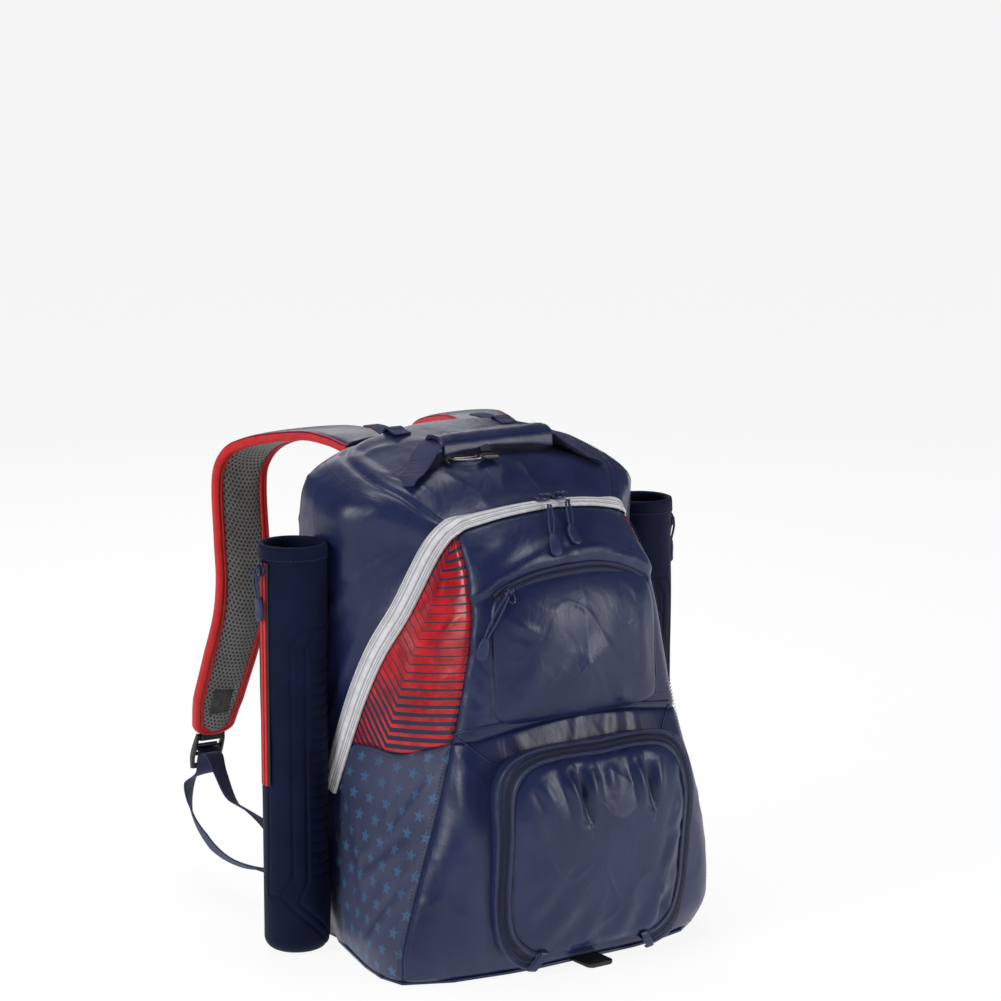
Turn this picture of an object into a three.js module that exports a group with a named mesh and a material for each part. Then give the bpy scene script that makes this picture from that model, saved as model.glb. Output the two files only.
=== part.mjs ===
// A standing backpack for two bats. Millimetres, +Z up, +X to the right seen from its front,
// front towards -Y. The origin is the middle of the base, on the floor.

import * as THREE from 'three';

// Sizes of the body
const half_width = 172;
const half_depth = 132;
const rim_height = 476;
const front_height = 415;
const crown_height = 15;
const crown_swell_share = 0.1;
const wall = 2.5;
const seam_gap = 0.5;
const seat_gap = 0.35;
const base_thickness = 3;
const corner_radius = 38;
const left_flare = 14;
const right_tuck = 16;
const flare_height_share = 0.45;
const flare_at_zip_share = 0.25;
const crown_half_share = 0.64;

// Sizes of the main zip, as shares along the front half of a section
const zip_station = 0.6;
const zip_half_share = 0.026;
const zip_end_share = 0.359;
const zip_proud = 1.2;

// Sizes of the pockets
const lower_pocket_half_width = 112;
const lower_pocket_bottom = 8;
const lower_pocket_corner = 40;
const lower_pocket_band_share = 0.86;
const lower_pocket_side_standoff = 5;
const lower_pocket_top_standoff = 19;
const lower_pocket_toe = 14;
const lower_pocket_toe_height = 60;
const lower_pocket_bulge = 13;
const middle_pocket_half_width = 92;
const middle_pocket_drop = 53;
const middle_pocket_height = 122;
const middle_pocket_top = front_height - middle_pocket_drop;
const middle_pocket_bottom = middle_pocket_top - middle_pocket_height;
const pocket_spacing = 24;
const lower_pocket_top = middle_pocket_bottom - pocket_spacing;
const middle_pocket_corner = 22;
const middle_pocket_standoff = 3;
const middle_pocket_bulge = 13;
const bulge_roundness = 2.6;
const pocket_zip_width = 9;
const pocket_zip_thickness = 2.4;

// Sizes of the bat sleeves
const sleeve_radius = 32;
const sleeve_wall = 4;
const sleeve_height = 395;
const sleeve_lift = 1;
const sleeve_y = 62;
const sleeve_corner = 12;
const sleeve_rim_height = 13;
const sleeve_rim_thickness = 1.6;
const sleeve_zip_width = 9;
const sleeve_zip_thickness = 2;
const sleeve_zip_bottom = 165;
const sleeve_zip_angle = 172;

// Sizes of the carrying parts
const back_pad_thickness = 9;
const strap_width = 60;
const strap_thickness = 11;
const binding_width = 5;
const webbing_width = 24;
const webbing_thickness = 1.8;
const tail_width = 20;
const buckle_width = 34;
const buckle_length = 40;
const buckle_thickness = 6;
const grip_half_length = 64;
const grip_width = 27;
const grip_thickness = 8;
const grip_y = 34;
const grip_clearance = 10.5;
const handle_webbing_width = 34;
const hook_wire = 2.2;
const pull_width = 8;
const pull_thickness = 3.4;
const slider_width = 10;
const slider_length = 16;
const slider_thickness = 6;
const foot_half_length = 22;
const foot_reach = 30;
const foot_height = 4.4;
const tab_width = 18;

// Each row is a level of the body. "up" is its share of the height. The other columns are shares of
// the half width (side, zip_x, edge_x, wing_x) and of the half depth (the rest).
const body_levels = [
  { up: 0.0, side: 0.93, zip_x: 0.965, zip_y: 0.288, edge_x: 1.0, edge_y: -0.697,
    wing_x: 0.512, wing_y: -0.924, front: -0.947, back: 0.97 },
  { up: 0.07, side: 0.988, zip_x: 0.992, zip_y: 0.3, edge_x: 1.035, edge_y: -0.727,
    wing_x: 0.605, wing_y: -0.97, front: -0.992, back: 1.0 },
  { up: 0.23, side: 1.0, zip_x: 0.996, zip_y: 0.32, edge_x: 0.965, edge_y: -0.727,
    wing_x: 0.657, wing_y: -0.985, front: -1.023, back: 1.0 },
  { up: 0.36, side: 1.0, zip_x: 0.994, zip_y: 0.31, edge_x: 0.872, edge_y: -0.712,
    wing_x: 0.651, wing_y: -0.985, front: -1.015, back: 1.0 },
  { up: 0.54, side: 1.0, zip_x: 0.965, zip_y: 0.121, edge_x: 0.75, edge_y: -0.697,
    wing_x: 0.57, wing_y: -0.848, front: -0.917, back: 1.0 },
  { up: 0.67, side: 1.0, zip_x: 0.913, zip_y: 0.023, edge_x: 0.68, edge_y: -0.705,
    wing_x: 0.5, wing_y: -0.826, front: -0.902, back: 1.0 },
  { up: 0.8, side: 1.0, zip_x: 0.814, zip_y: -0.083, edge_x: 0.622, edge_y: -0.689,
    wing_x: 0.453, wing_y: -0.803, front: -0.856, back: 1.0 },
  { up: 0.9, side: 0.994, zip_x: 0.709, zip_y: -0.167, edge_x: 0.593, edge_y: -0.591,
    wing_x: 0.419, wing_y: -0.697, front: -0.773, back: 0.992 },
  { up: 0.955, side: 0.971, zip_x: 0.645, zip_y: -0.235, edge_x: 0.576, edge_y: -0.477,
    wing_x: 0.39, wing_y: -0.576, front: -0.652, back: 0.97 },
  { up: 0.985, side: 0.884, zip_x: 0.593, zip_y: -0.28, edge_x: 0.558, edge_y: -0.402,
    wing_x: 0.36, wing_y: -0.5, front: -0.568, back: 0.917 },
  { up: 1.0, side: 0.727, zip_x: 0.564, zip_y: -0.303, edge_x: 0.547, edge_y: -0.356,
    wing_x: 0.349, wing_y: -0.455, front: -0.523, back: 0.848 },
];

// Height of the top seam from front to back: "along" is a share of the half depth, "high" of the
// step between the front height and the rim height.
const top_seam = [
  { along: -0.523, high: 0.0 },
  { along: -0.27, high: 0.02 },
  { along: 0.0, high: 0.46 },
  { along: 0.28, high: 0.67 },
  { along: 0.75, high: 0.93 },
  { along: 1.0, high: 1.0 },
];

// The middle line of the left shoulder strap, from its root down to its tip: "out" is a share of the
// half width, "behind" of the half depth, "up" of the rim height, "wide" of the strap width.
const strap_line = [
  { out: 0.436, behind: 1.0, up: 0.985, wide: 1.0 },
  { out: 0.47, behind: 1.2, up: 0.995, wide: 1.0 },
  { out: 0.512, behind: 1.45, up: 0.996, wide: 1.0 },
  { out: 0.593, behind: 1.92, up: 0.972, wide: 1.0 },
  { out: 0.64, behind: 2.17, up: 0.945, wide: 1.0 },
  { out: 0.686, behind: 2.28, up: 0.905, wide: 1.0 },
  { out: 0.709, behind: 2.29, up: 0.855, wide: 1.0 },
  { out: 0.738, behind: 2.2, up: 0.745, wide: 1.0 },
  { out: 0.773, behind: 2.1, up: 0.668, wide: 1.0 },
  { out: 0.808, behind: 2.075, up: 0.592, wide: 1.0 },
  { out: 0.849, behind: 2.15, up: 0.5, wide: 0.99 },
  { out: 0.884, behind: 2.265, up: 0.4, wide: 0.92 },
  { out: 0.89, behind: 2.33, up: 0.345, wide: 0.72 },
];

// Points of the lower webbing and of its loose tail after they leave the buckle, with the columns of
// strap_line. "turn" is the angle in degrees of the width about the line.
const lower_webbing_line = [
  { out: 0.935, behind: 2.6, up: 0.2, turn: 30 },
  { out: 0.955, behind: 2.54, up: 0.135, turn: 62 },
  { out: 0.955, behind: 2.28, up: 0.085, turn: 66 },
  { out: 0.95, behind: 1.9, up: 0.066, turn: 40 },
  { out: 0.935, behind: 1.45, up: 0.078, turn: 10 },
  { out: 0.9, behind: 1.012, up: 0.085, turn: 0 },
];
const tail_line = [
  { out: 0.94, behind: 2.2, up: 0.277, turn: 8 },
  { out: 0.957, behind: 2.08, up: 0.25, turn: 20 },
  { out: 0.957, behind: 1.9, up: 0.2, turn: 34 },
  { out: 0.955, behind: 1.66, up: 0.193, turn: 34 },
  { out: 0.945, behind: 1.4, up: 0.175, turn: 20 },
  { out: 0.93, behind: 1.18, up: 0.14, turn: 8 },
];

// Stations of a section's points, from the middle of the front (0) to the middle of the back (1)
const stations = [0, 0.22, 0.36, zip_station, 0.68, 0.74, 0.8, 0.86, 1];
const edge_station = 0.36;

const navy = { color: 0x27305a, roughness: 0.42, metalness: 0.0 };
const navy_knit = { color: 0x17244a, roughness: 0.8, metalness: 0.0 };
const navy_webbing = { color: 0x1c2756, roughness: 0.75, metalness: 0.0 };
const star_navy = { color: 0x2b3358, roughness: 0.5, metalness: 0.0 };
const chevron_red = { color: 0xb81c26, roughness: 0.3, metalness: 0.0 };
const bright_red = { color: 0xd8202a, roughness: 0.6, metalness: 0.0 };
const zip_white = { color: 0xeeeef2, roughness: 0.6, metalness: 0.0 };
const mesh_grey = { color: 0x8c8985, roughness: 0.85, metalness: 0.0 };
const black_plastic = { color: 0x101114, roughness: 0.35, metalness: 0.0 };
const dark_metal = { color: 0x2b2c2e, roughness: 0.3, metalness: 0.9 };

const backpack = new THREE.Group();

function add_piece(group, name, geometry, finish) {
  const mesh = new THREE.Mesh(geometry, new THREE.MeshStandardMaterial(finish));
  mesh.name = name;
  group.add(mesh);
  return mesh;
}

// Smooth curve through values at rising stations, with slopes from the neighbours
function smooth_value(places, values, at) {
  const last = places.length - 1;
  let left = 0;
  while (left < last - 1 && at > places[left + 1]) left += 1;
  const slope = (k) => {
    const before = Math.max(0, k - 1);
    const after = Math.min(last, k + 1);
    return (values[after] - values[before]) / (places[after] - places[before]);
  };
  const span = places[left + 1] - places[left];
  const t = Math.min(1, Math.max(0, (at - places[left]) / span));
  const t2 = t * t;
  const t3 = t2 * t;
  return (2 * t3 - 3 * t2 + 1) * values[left] + (t3 - 2 * t2 + t) * span * slope(left)
    + (3 * t2 - 2 * t3) * values[left + 1] + (t3 - t2) * span * slope(left + 1);
}

const level_places = body_levels.map((row) => row.up);

function level_share(column, up) {
  return smooth_value(level_places, body_levels.map((row) => row[column]), up);
}

function seam_height(x, y) {
  const high = smooth_value(top_seam.map((row) => row.along), top_seam.map((row) => row.high),
    y / half_depth);
  const across = Math.min(1, (x / (crown_half_share * half_width)) ** 2);
  return front_height + high * (rim_height - front_height) + crown_height * (1 - across);
}

// A point of the outside of the body. "around" runs from -1 (middle of the back) by the left side,
// 0 (middle of the front) and the right side to 1. "up" runs from 0 (base) to 1 (top seam), and
// from 1 to 2 over the top to its middle.
const top_middle_y = 0.27 * half_depth;

function section_point(around, up) {
  const low = Math.max(0, 1 - up / flare_height_share) ** 2;
  const flare = low * (around < 0 ? left_flare : -right_tuck);
  const side = level_share('side', up) * half_width;
  const back = level_share('back', up) * half_depth;
  const bend = corner_radius * (1 - Math.SQRT1_2);
  const xs = [0, level_share('wing_x', up) * half_width,
    level_share('edge_x', up) * half_width + flare,
    level_share('zip_x', up) * half_width + flare_at_zip_share * flare,
    side, side, side - bend, side - corner_radius, 0];
  const ys = [level_share('front', up) * half_depth, level_share('wing_y', up) * half_depth,
    level_share('edge_y', up) * half_depth, level_share('zip_y', up) * half_depth,
    0.5 * (level_share('zip_y', up) * half_depth + back - corner_radius),
    back - corner_radius, back - bend, back, back];
  const x = smooth_value(stations, xs, Math.abs(around));
  const y = smooth_value(stations, ys, Math.abs(around));
  return [around < 0 ? -x : x, y];
}

function body_point(around, up) {
  const floor = base_thickness + seam_gap;
  if (up <= 1) {
    const [x, y] = section_point(around, up);
    return new THREE.Vector3(x, y, floor + up * (seam_height(x, y) - floor));
  }
  const inward = up - 1;
  const [rim_x, rim_y] = section_point(around, 1);
  const x = rim_x * (1 - inward);
  const y = rim_y + (top_middle_y - rim_y) * inward;
  const rise = crown_swell_share * crown_height * (1 - (1 - inward) ** 2);
  return new THREE.Vector3(x, y, seam_height(x, y) + rise);
}

// Unit vectors of the body's outside at a point: around it, up it, and out of it
function body_frame(around, up) {
  const step = 0.004;
  const point = body_point(around, up);
  if (up > 1.97) {
    return { point, across: new THREE.Vector3(1, 0, 0), rising: new THREE.Vector3(0, 1, 0),
      out: new THREE.Vector3(0, 0, 1) };
  }
  const wrap = (a) => (a > 1 ? a - 2 : a < -1 ? a + 2 : a);
  const across = body_point(wrap(around + step), up).sub(body_point(wrap(around - step), up));
  const high = Math.min(2, up + step);
  const low = Math.max(0, up - step);
  const rising = body_point(around, high).sub(body_point(around, low));
  const out = new THREE.Vector3().crossVectors(across, rising).normalize();
  return { point, across: across.normalize(), rising: rising.normalize(), out };
}

function place_on(frame, along_across, along_rising, along_out) {
  return frame.point.clone().addScaledVector(frame.across, along_across)
    .addScaledVector(frame.rising, along_rising).addScaledVector(frame.out, along_out);
}

function signed_volume(points, faces) {
  let sum = 0;
  for (const [a, b, c] of faces) {
    sum += points[a].dot(new THREE.Vector3().crossVectors(points[b], points[c]));
  }
  return sum / 6;
}

function solid_geometry(points, faces) {
  const outward = signed_volume(points, faces) > 0;
  const geometry = new THREE.BufferGeometry();
  const positions = [];
  for (const point of points) positions.push(point.x, point.y, point.z);
  const index = [];
  for (const [a, b, c] of faces) index.push(...(outward ? [a, b, c] : [a, c, b]));
  geometry.setAttribute('position', new THREE.Float32BufferAttribute(positions, 3));
  geometry.setIndex(index);
  geometry.computeVertexNormals();
  return geometry;
}

// A wall over some cells of a grid. corner(i, j) gives the frame of a grid corner, keep(i, j) says
// whether a cell belongs to the wall. Free edges draw back by half of the seam gap.
function sheet_solid({ columns, rows, closed = false, pole = false, keep, corner, inner, outer,
  draw_back = seam_gap / 2 }) {
  const cell_columns = closed ? columns : columns - 1;
  const points = [];
  const faces = [];
  const numbers = new Map();
  const has = (i, j) => {
    const column = closed ? (i + cell_columns) % cell_columns : i;
    if (column < 0 || column >= cell_columns || j < 0 || j >= rows - 1) return false;
    return keep(column, j);
  };
  const corner_number = (i, j, side) => {
    const column = closed ? i % columns : i;
    const at_pole = pole && j === rows - 1;
    const key = `${at_pole ? 0 : column}/${j}/${side}`;
    if (!numbers.has(key)) {
      const frame = corner(at_pole ? 0 : column, j);
      const right = has(column, j) || has(column, j - 1);
      const left = has(column - 1, j) || has(column - 1, j - 1);
      const above = has(column, j) || has(column - 1, j);
      const below = has(column, j - 1) || has(column - 1, j - 1);
      const sideways = at_pole ? 0 : (right - left) * draw_back;
      const upwards = at_pole ? 0 : (above - below) * draw_back;
      const depth = side === 'out' ? outer : inner;
      points.push(place_on(frame, sideways, upwards, depth));
      numbers.set(key, points.length - 1);
    }
    return numbers.get(key);
  };
  const quad = (a, b, c, d) => {
    if (a !== b && b !== c && a !== c) faces.push([a, b, c]);
    if (a !== c && c !== d && a !== d) faces.push([a, c, d]);
  };
  for (let i = 0; i < cell_columns; i += 1) {
    for (let j = 0; j < rows - 1; j += 1) {
      if (!keep(i, j)) continue;
      const n = (p, q, side) => corner_number(p, q, side);
      quad(n(i, j, 'out'), n(i + 1, j, 'out'), n(i + 1, j + 1, 'out'), n(i, j + 1, 'out'));
      quad(n(i, j, 'in'), n(i, j + 1, 'in'), n(i + 1, j + 1, 'in'), n(i + 1, j, 'in'));
      const edge = (p, q, r, s) => quad(n(p, q, 'out'), n(p, q, 'in'), n(r, s, 'in'), n(r, s, 'out'));
      if (!has(i, j - 1)) edge(i, j, i + 1, j);
      if (!has(i, j + 1) && !(pole && j === rows - 2)) edge(i + 1, j + 1, i, j + 1);
      if (!has(i - 1, j)) edge(i, j + 1, i, j);
      if (!has(i + 1, j)) edge(i + 1, j, i + 1, j + 1);
    }
  }
  return solid_geometry(points, faces);
}

// The body's grid, shared by all of its panels so that they meet line on line
const half_columns = [0, 0.075, 0.15, 0.22, 0.29, edge_station, 0.42, 0.48, 0.53,
  zip_station - zip_half_share, zip_station + zip_half_share, 0.68, 0.74, 0.77, 0.8, 0.83, 0.86, 0.93];
const columns = [-1, ...half_columns.slice(1).map((a) => -a).reverse(), ...half_columns];
const rows_below_seam = [0, 0.12, 0.3, 0.5, 0.68, 0.835];
const rows_above_seam = [0, 0.1, 0.22, 0.36, 0.5, 0.64, 0.77, 0.87, 0.94, 0.975, 1];
const top_rows = [1.25, 1.5, 1.75, 2];
const seam_row = rows_below_seam.length;
const zip_end_row = seam_row - 1;
const rim_row = seam_row + rows_above_seam.length - 1;
const zip_top_row = rim_row - 2;
const row_count = rim_row + 1 + top_rows.length;

// Height share of the seam under the printed gussets and over the lower front
const gusset_seam_at_zip = zip_end_share / rows_below_seam[zip_end_row];
const gusset_seam_at_edge = 0.535;
const front_seam_share = 0.552;

function seam_up(around) {
  const a = Math.abs(around);
  if (a >= zip_station + zip_half_share) return gusset_seam_at_zip;
  if (a >= edge_station) {
    const t = (a - edge_station) / (zip_station + zip_half_share - edge_station);
    return gusset_seam_at_edge + (gusset_seam_at_zip - gusset_seam_at_edge) * t;
  }
  return front_seam_share + (gusset_seam_at_edge - front_seam_share) * (a / edge_station);
}

function body_row_up(around, row) {
  const seam = seam_up(around);
  if (row < seam_row) return rows_below_seam[row] * seam;
  if (row <= rim_row) return seam + rows_above_seam[row - seam_row] * (1 - seam);
  return top_rows[row - rim_row - 1];
}

const frame_store = new Map();

function body_corner(i, j) {
  const key = `${i}/${j}`;
  if (!frame_store.has(key)) frame_store.set(key, body_frame(columns[i], body_row_up(columns[i], j)));
  return frame_store.get(key);
}

function middle_of_cell(i) {
  const next = i + 1 < columns.length ? columns[i + 1] : 1;
  return (columns[i] + next) / 2;
}

const zip_inner = zip_station - zip_half_share;
const zip_outer = zip_station + zip_half_share;
const in_zip = (i, j) => {
  const a = Math.abs(middle_of_cell(i));
  if (a > zip_outer || j < zip_end_row || j >= rim_row) return false;
  return a > zip_inner || (j >= zip_top_row && j < rim_row);
};

const panels = {
  main_shell: {
    finish: navy,
    keep: (i, j) => j >= rim_row || Math.abs(middle_of_cell(i)) > zip_outer,
  },
  main_zip: { finish: zip_white, keep: in_zip, proud: zip_proud, draw_back: 1.35 },
  gusset_left: { finish: chevron_red, keep: (i, j) => is_gusset(i, j) && middle_of_cell(i) < 0 },
  gusset_right: { finish: chevron_red, keep: (i, j) => is_gusset(i, j) && middle_of_cell(i) > 0 },
  front_panel: {
    finish: navy,
    keep: (i, j) => Math.abs(middle_of_cell(i)) < edge_station && j >= seam_row && j < zip_top_row,
  },
  side_panel_left: { finish: star_navy, keep: (i, j) => is_side(i, j) && middle_of_cell(i) < 0 },
  side_panel_right: { finish: star_navy, keep: (i, j) => is_side(i, j) && middle_of_cell(i) > 0 },
  lower_front: {
    finish: navy,
    keep: (i, j) => Math.abs(middle_of_cell(i)) < edge_station && j < seam_row,
  },
};

function is_gusset(i, j) {
  const a = Math.abs(middle_of_cell(i));
  return a > edge_station && a < zip_inner && j >= seam_row && j < zip_top_row;
}

function is_side(i, j) {
  const a = Math.abs(middle_of_cell(i));
  return a > edge_station && a < zip_outer && j < seam_row && !in_zip(i, j);
}

for (const [name, panel] of Object.entries(panels)) {
  const geometry = sheet_solid({ columns: columns.length, rows: row_count, closed: true,
    pole: true, keep: panel.keep, corner: body_corner, inner: -wall, outer: panel.proud ?? 0,
    draw_back: panel.draw_back ?? seam_gap / 2 });
  add_piece(backpack, name, geometry, panel.finish);
}

// The floor of the bag follows the lowest section
const base_outline = new THREE.Shape(columns.map((a) => {
  const [x, y] = section_point(a, 0);
  return new THREE.Vector2(x, y);
}));
add_piece(backpack, 'base_panel',
  new THREE.ExtrudeGeometry(base_outline, { depth: base_thickness, bevelEnabled: false }), navy);

// The padded back panel lies on the back wall between the corners
add_piece(backpack, 'back_pad', sheet_solid({ columns: columns.length, rows: row_count, closed: true,
  keep: (i, j) => Math.abs(middle_of_cell(i)) > 0.86 && j > 0 && j < zip_top_row - 1,
  corner: body_corner, inner: seat_gap, outer: back_pad_thickness, draw_back: 4 }), mesh_grey);

// Share around the front at which a level has a given x
function around_at(x, up) {
  const sign = x < 0 ? -1 : 1;
  let low = 0;
  let high = zip_station;
  for (let k = 0; k < 30; k += 1) {
    const middle = (low + high) / 2;
    if (Math.abs(body_point(sign * middle, up).x) < Math.abs(x)) low = middle;
    else high = middle;
  }
  return sign * (low + high) / 2;
}

// Frame of the front at a given x and height
function front_frame(x, z) {
  let up = z / (front_height + crown_height);
  let around = 0;
  for (let k = 0; k < 4; k += 1) {
    around = around_at(x, up);
    up *= z / body_point(around, up).z;
  }
  return body_frame(around, Math.min(up, 1));
}

// Outline of a pocket at an angle: a rectangle with round corners, as a point about its middle
function rounded_outline(angle, half_x, half_z, corner) {
  const sharp = 2 + 4 * (1 - corner / Math.min(half_x, half_z));
  const c = Math.cos(angle);
  const s = Math.sin(angle);
  const reach = (Math.abs(c) ** sharp + Math.abs(s) ** sharp) ** (-1 / sharp);
  return [half_x * reach * c, half_z * reach * s];
}

// A pocket is a polar grid over its outline, whose rings grow from its middle to the outline
function pocket_grid({ half_x, bottom, top, corner, side_standoff, top_standoff, toe = 0, bulge,
  rings, steps }) {
  const half_z = (top - bottom) / 2;
  const middle_z = (top + bottom) / 2;
  const count = rings.length;
  const position = (i, j) => {
    const angle = (2 * Math.PI * i) / steps;
    const ring = rings[count - 1 - j];
    const [x, z] = rounded_outline(angle, half_x, half_z, corner);
    const up = middle_z + z * ring;
    const frame = front_frame(x * ring, up);
    const lift = side_standoff + (top_standoff - side_standoff) * (up / top) ** 2
      + toe * Math.max(0, 1 - up / lower_pocket_toe_height) ** 2;
    const face = lift + bulge * (1 - ring ** bulge_roundness);
    return place_on(frame, 0, 0, face);
  };
  const corner_frame = (i, j) => {
    const point = position(i, j);
    const ring = rings[count - 1 - j];
    if (ring === 0) {
      return { point, across: new THREE.Vector3(1, 0, 0), rising: new THREE.Vector3(0, 0, 1),
        out: new THREE.Vector3(0, -1, 0) };
    }
    const across = position(i + 1, j).sub(position(i - 1, j)).normalize();
    const inner = position(i, Math.min(count - 1, j + 1));
    const outer = position(i, Math.max(0, j - 1));
    const rising = inner.sub(outer).normalize();
    const out = new THREE.Vector3().crossVectors(across, rising).normalize();
    if (out.y > 0) out.negate();
    return { point, across, rising, out };
  };
  return { steps, count, corner_frame };
}

function pocket_sheet(grid, keep, inner, outer) {
  return sheet_solid({ columns: grid.steps, rows: grid.count, closed: true, pole: true, keep,
    corner: grid.corner_frame, inner, outer });
}

const pocket_steps = 32;
const lower_grid = pocket_grid({ half_x: lower_pocket_half_width, bottom: lower_pocket_bottom,
  top: lower_pocket_top, corner: lower_pocket_corner, side_standoff: lower_pocket_side_standoff,
  top_standoff: lower_pocket_top_standoff, toe: lower_pocket_toe, bulge: lower_pocket_bulge,
  rings: [0, 0.25, 0.5, 0.7, lower_pocket_band_share, 1], steps: pocket_steps });
const band_ring = 0;
const first_open_step = Math.round(0.66 * pocket_steps);
const last_open_step = Math.round(0.81 * pocket_steps);
const open_bottom = (i) => i >= first_open_step && i <= last_open_step;
add_piece(backpack, 'lower_pocket', pocket_sheet(lower_grid,
  (i, j) => j > band_ring || open_bottom(i), -wall, 0), navy);
add_piece(backpack, 'lower_pocket_zip', pocket_sheet(lower_grid,
  (i, j) => j === band_ring && !open_bottom(i), -wall, zip_proud), navy_webbing);

const middle_grid = pocket_grid({ half_x: middle_pocket_half_width, bottom: middle_pocket_bottom,
  top: middle_pocket_top, corner: middle_pocket_corner, side_standoff: middle_pocket_standoff,
  top_standoff: middle_pocket_standoff, bulge: middle_pocket_bulge,
  rings: [0, 0.35, 0.7, 1], steps: 28 });
add_piece(backpack, 'middle_pocket', pocket_sheet(middle_grid, () => true, -wall, 0), navy);

// Sweeps a section along frames. Each frame has a point, a "wide" and a "thick" direction and a
// scale of the width. The section is a list of [wide, thick] pairs in turning order.
function sweep_solid(frames, section, closed = false) {
  const points = [];
  const faces = [];
  const count = section.length;
  for (const { point, wide, thick, scale = 1 } of frames) {
    for (const [w, t] of section) {
      points.push(point.clone().addScaledVector(wide, w * scale).addScaledVector(thick, t));
    }
  }
  const spans = closed ? frames.length : frames.length - 1;
  for (let f = 0; f < spans; f += 1) {
    const next = (f + 1) % frames.length;
    for (let k = 0; k < count; k += 1) {
      const after = (k + 1) % count;
      faces.push([f * count + k, f * count + after, next * count + after]);
      faces.push([f * count + k, next * count + after, next * count + k]);
    }
  }
  if (!closed) {
    const last = (frames.length - 1) * count;
    for (let k = 1; k < count - 1; k += 1) {
      faces.push([0, k + 1, k]);
      faces.push([last, last + k, last + k + 1]);
    }
  }
  return solid_geometry(points, faces);
}

function flat_section(width, thickness, round = 0.35) {
  const w = width / 2;
  const t = thickness / 2;
  const c = round * Math.min(width, thickness);
  return [[-w, -t + c], [-w + c, -t], [w - c, -t], [w, -t + c],
    [w, t - c], [w - c, t], [-w + c, t], [-w, t - c]];
}

function round_section(radius, sides = 8) {
  return Array.from({ length: sides }, (_, k) => {
    const angle = (2 * Math.PI * k) / sides;
    return [radius * Math.cos(angle), radius * Math.sin(angle)];
  });
}

// A strip lying on the front: points given as [x, z], seated on the body at a height over it
function front_strip(line, width, thickness, lift) {
  const spots = line.map(([x, z]) => {
    const frame = front_frame(x, z);
    return { frame, point: place_on(frame, 0, 0, lift + thickness / 2) };
  });
  const frames = spots.map(({ frame, point }, k) => {
    const ahead = spots[Math.min(spots.length - 1, k + 1)].point;
    const behind = spots[Math.max(0, k - 1)].point;
    const along = ahead.clone().sub(behind).normalize();
    const wide = new THREE.Vector3().crossVectors(along, frame.out).normalize();
    return { point, wide, thick: new THREE.Vector3().crossVectors(wide, along).normalize() };
  });
  return sweep_solid(frames, flat_section(width, thickness));
}

// The middle pocket's zip runs over the pocket's top edge, under a fold of the front panel
const middle_zip_rise = 8;
const middle_zip_inset = 6;
const middle_zip_stops = [-0.97, -0.8, -0.6, -0.4, -0.2, -0.07, 0.07, 0.2, 0.4, 0.6, 0.8];
const middle_zip_line = middle_zip_stops.map((share) => [
  share * (middle_pocket_half_width - middle_zip_inset),
  middle_pocket_top + middle_zip_inset + middle_zip_rise * (1 - share * share)]);
add_piece(backpack, 'middle_pocket_zip',
  front_strip(middle_zip_line, pocket_zip_width, pocket_zip_thickness, 1.7 * seat_gap), navy_webbing);

// Zip sliders with their cord pulls. A slider is a short bar, a pull hangs down beside it.
function slider_on_front(name, x, z, lift) {
  add_piece(backpack, name, front_strip([[x - slider_length / 2, z], [x, z], [x + slider_length / 2, z]],
    slider_width, slider_thickness, lift), black_plastic);
}

function pull_on_front(name, line, lift) {
  add_piece(backpack, name, front_strip(line, pull_width, pull_thickness, lift), navy_webbing);
}

const zip_top_height = 0.972 * (front_height + crown_height);
const slider_lift = zip_proud + seat_gap;
slider_on_front('main_zip_slider_left', -slider_length * 0.62, zip_top_height, slider_lift);
slider_on_front('main_zip_slider_right', slider_length * 0.62, zip_top_height, slider_lift);
const pull_lengths = { left: 30, right: 25 };
const pull_spread = 9;
const pull_swing = 3;
const pull_lift = zip_proud + seat_gap - 0.7;
for (const [side, sign] of [['left', -1], ['right', 1]]) {
  const start = zip_top_height - slider_width / 2 - seat_gap;
  const reach = pull_lengths[side];
  const x = sign * pull_spread;
  pull_on_front(`main_zip_pull_${side}`, [[x, start], [x, start - reach / 2],
    [x + pull_swing, start - reach]], pull_lift);
}

// The bat sleeves: open tubes with a round bottom, against the sides
const sleeve_x = half_width + sleeve_radius + seat_gap + 0.6;

function sleeve_profile() {
  const inner = sleeve_radius - sleeve_wall;
  const bend = sleeve_corner * 0.3;
  return [[0, 0], [sleeve_radius - sleeve_corner, 0], [sleeve_radius - bend, bend],
    [sleeve_radius, sleeve_corner], [sleeve_radius, sleeve_height - sleeve_lift],
    [inner, sleeve_height - sleeve_lift], [inner, sleeve_corner + sleeve_wall],
    [inner - sleeve_corner * 0.7, sleeve_wall], [0, sleeve_wall]].map(([r, z]) => new THREE.Vector2(r, z));
}

function ring_solid(inner, outer, bottom, top, segments) {
  const profile = [[inner, bottom], [outer, bottom], [outer, top], [inner, top], [inner, bottom]];
  return new THREE.LatheGeometry(profile.map(([r, z]) => new THREE.Vector2(r, z)), segments)
    .rotateX(Math.PI / 2);
}

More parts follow.
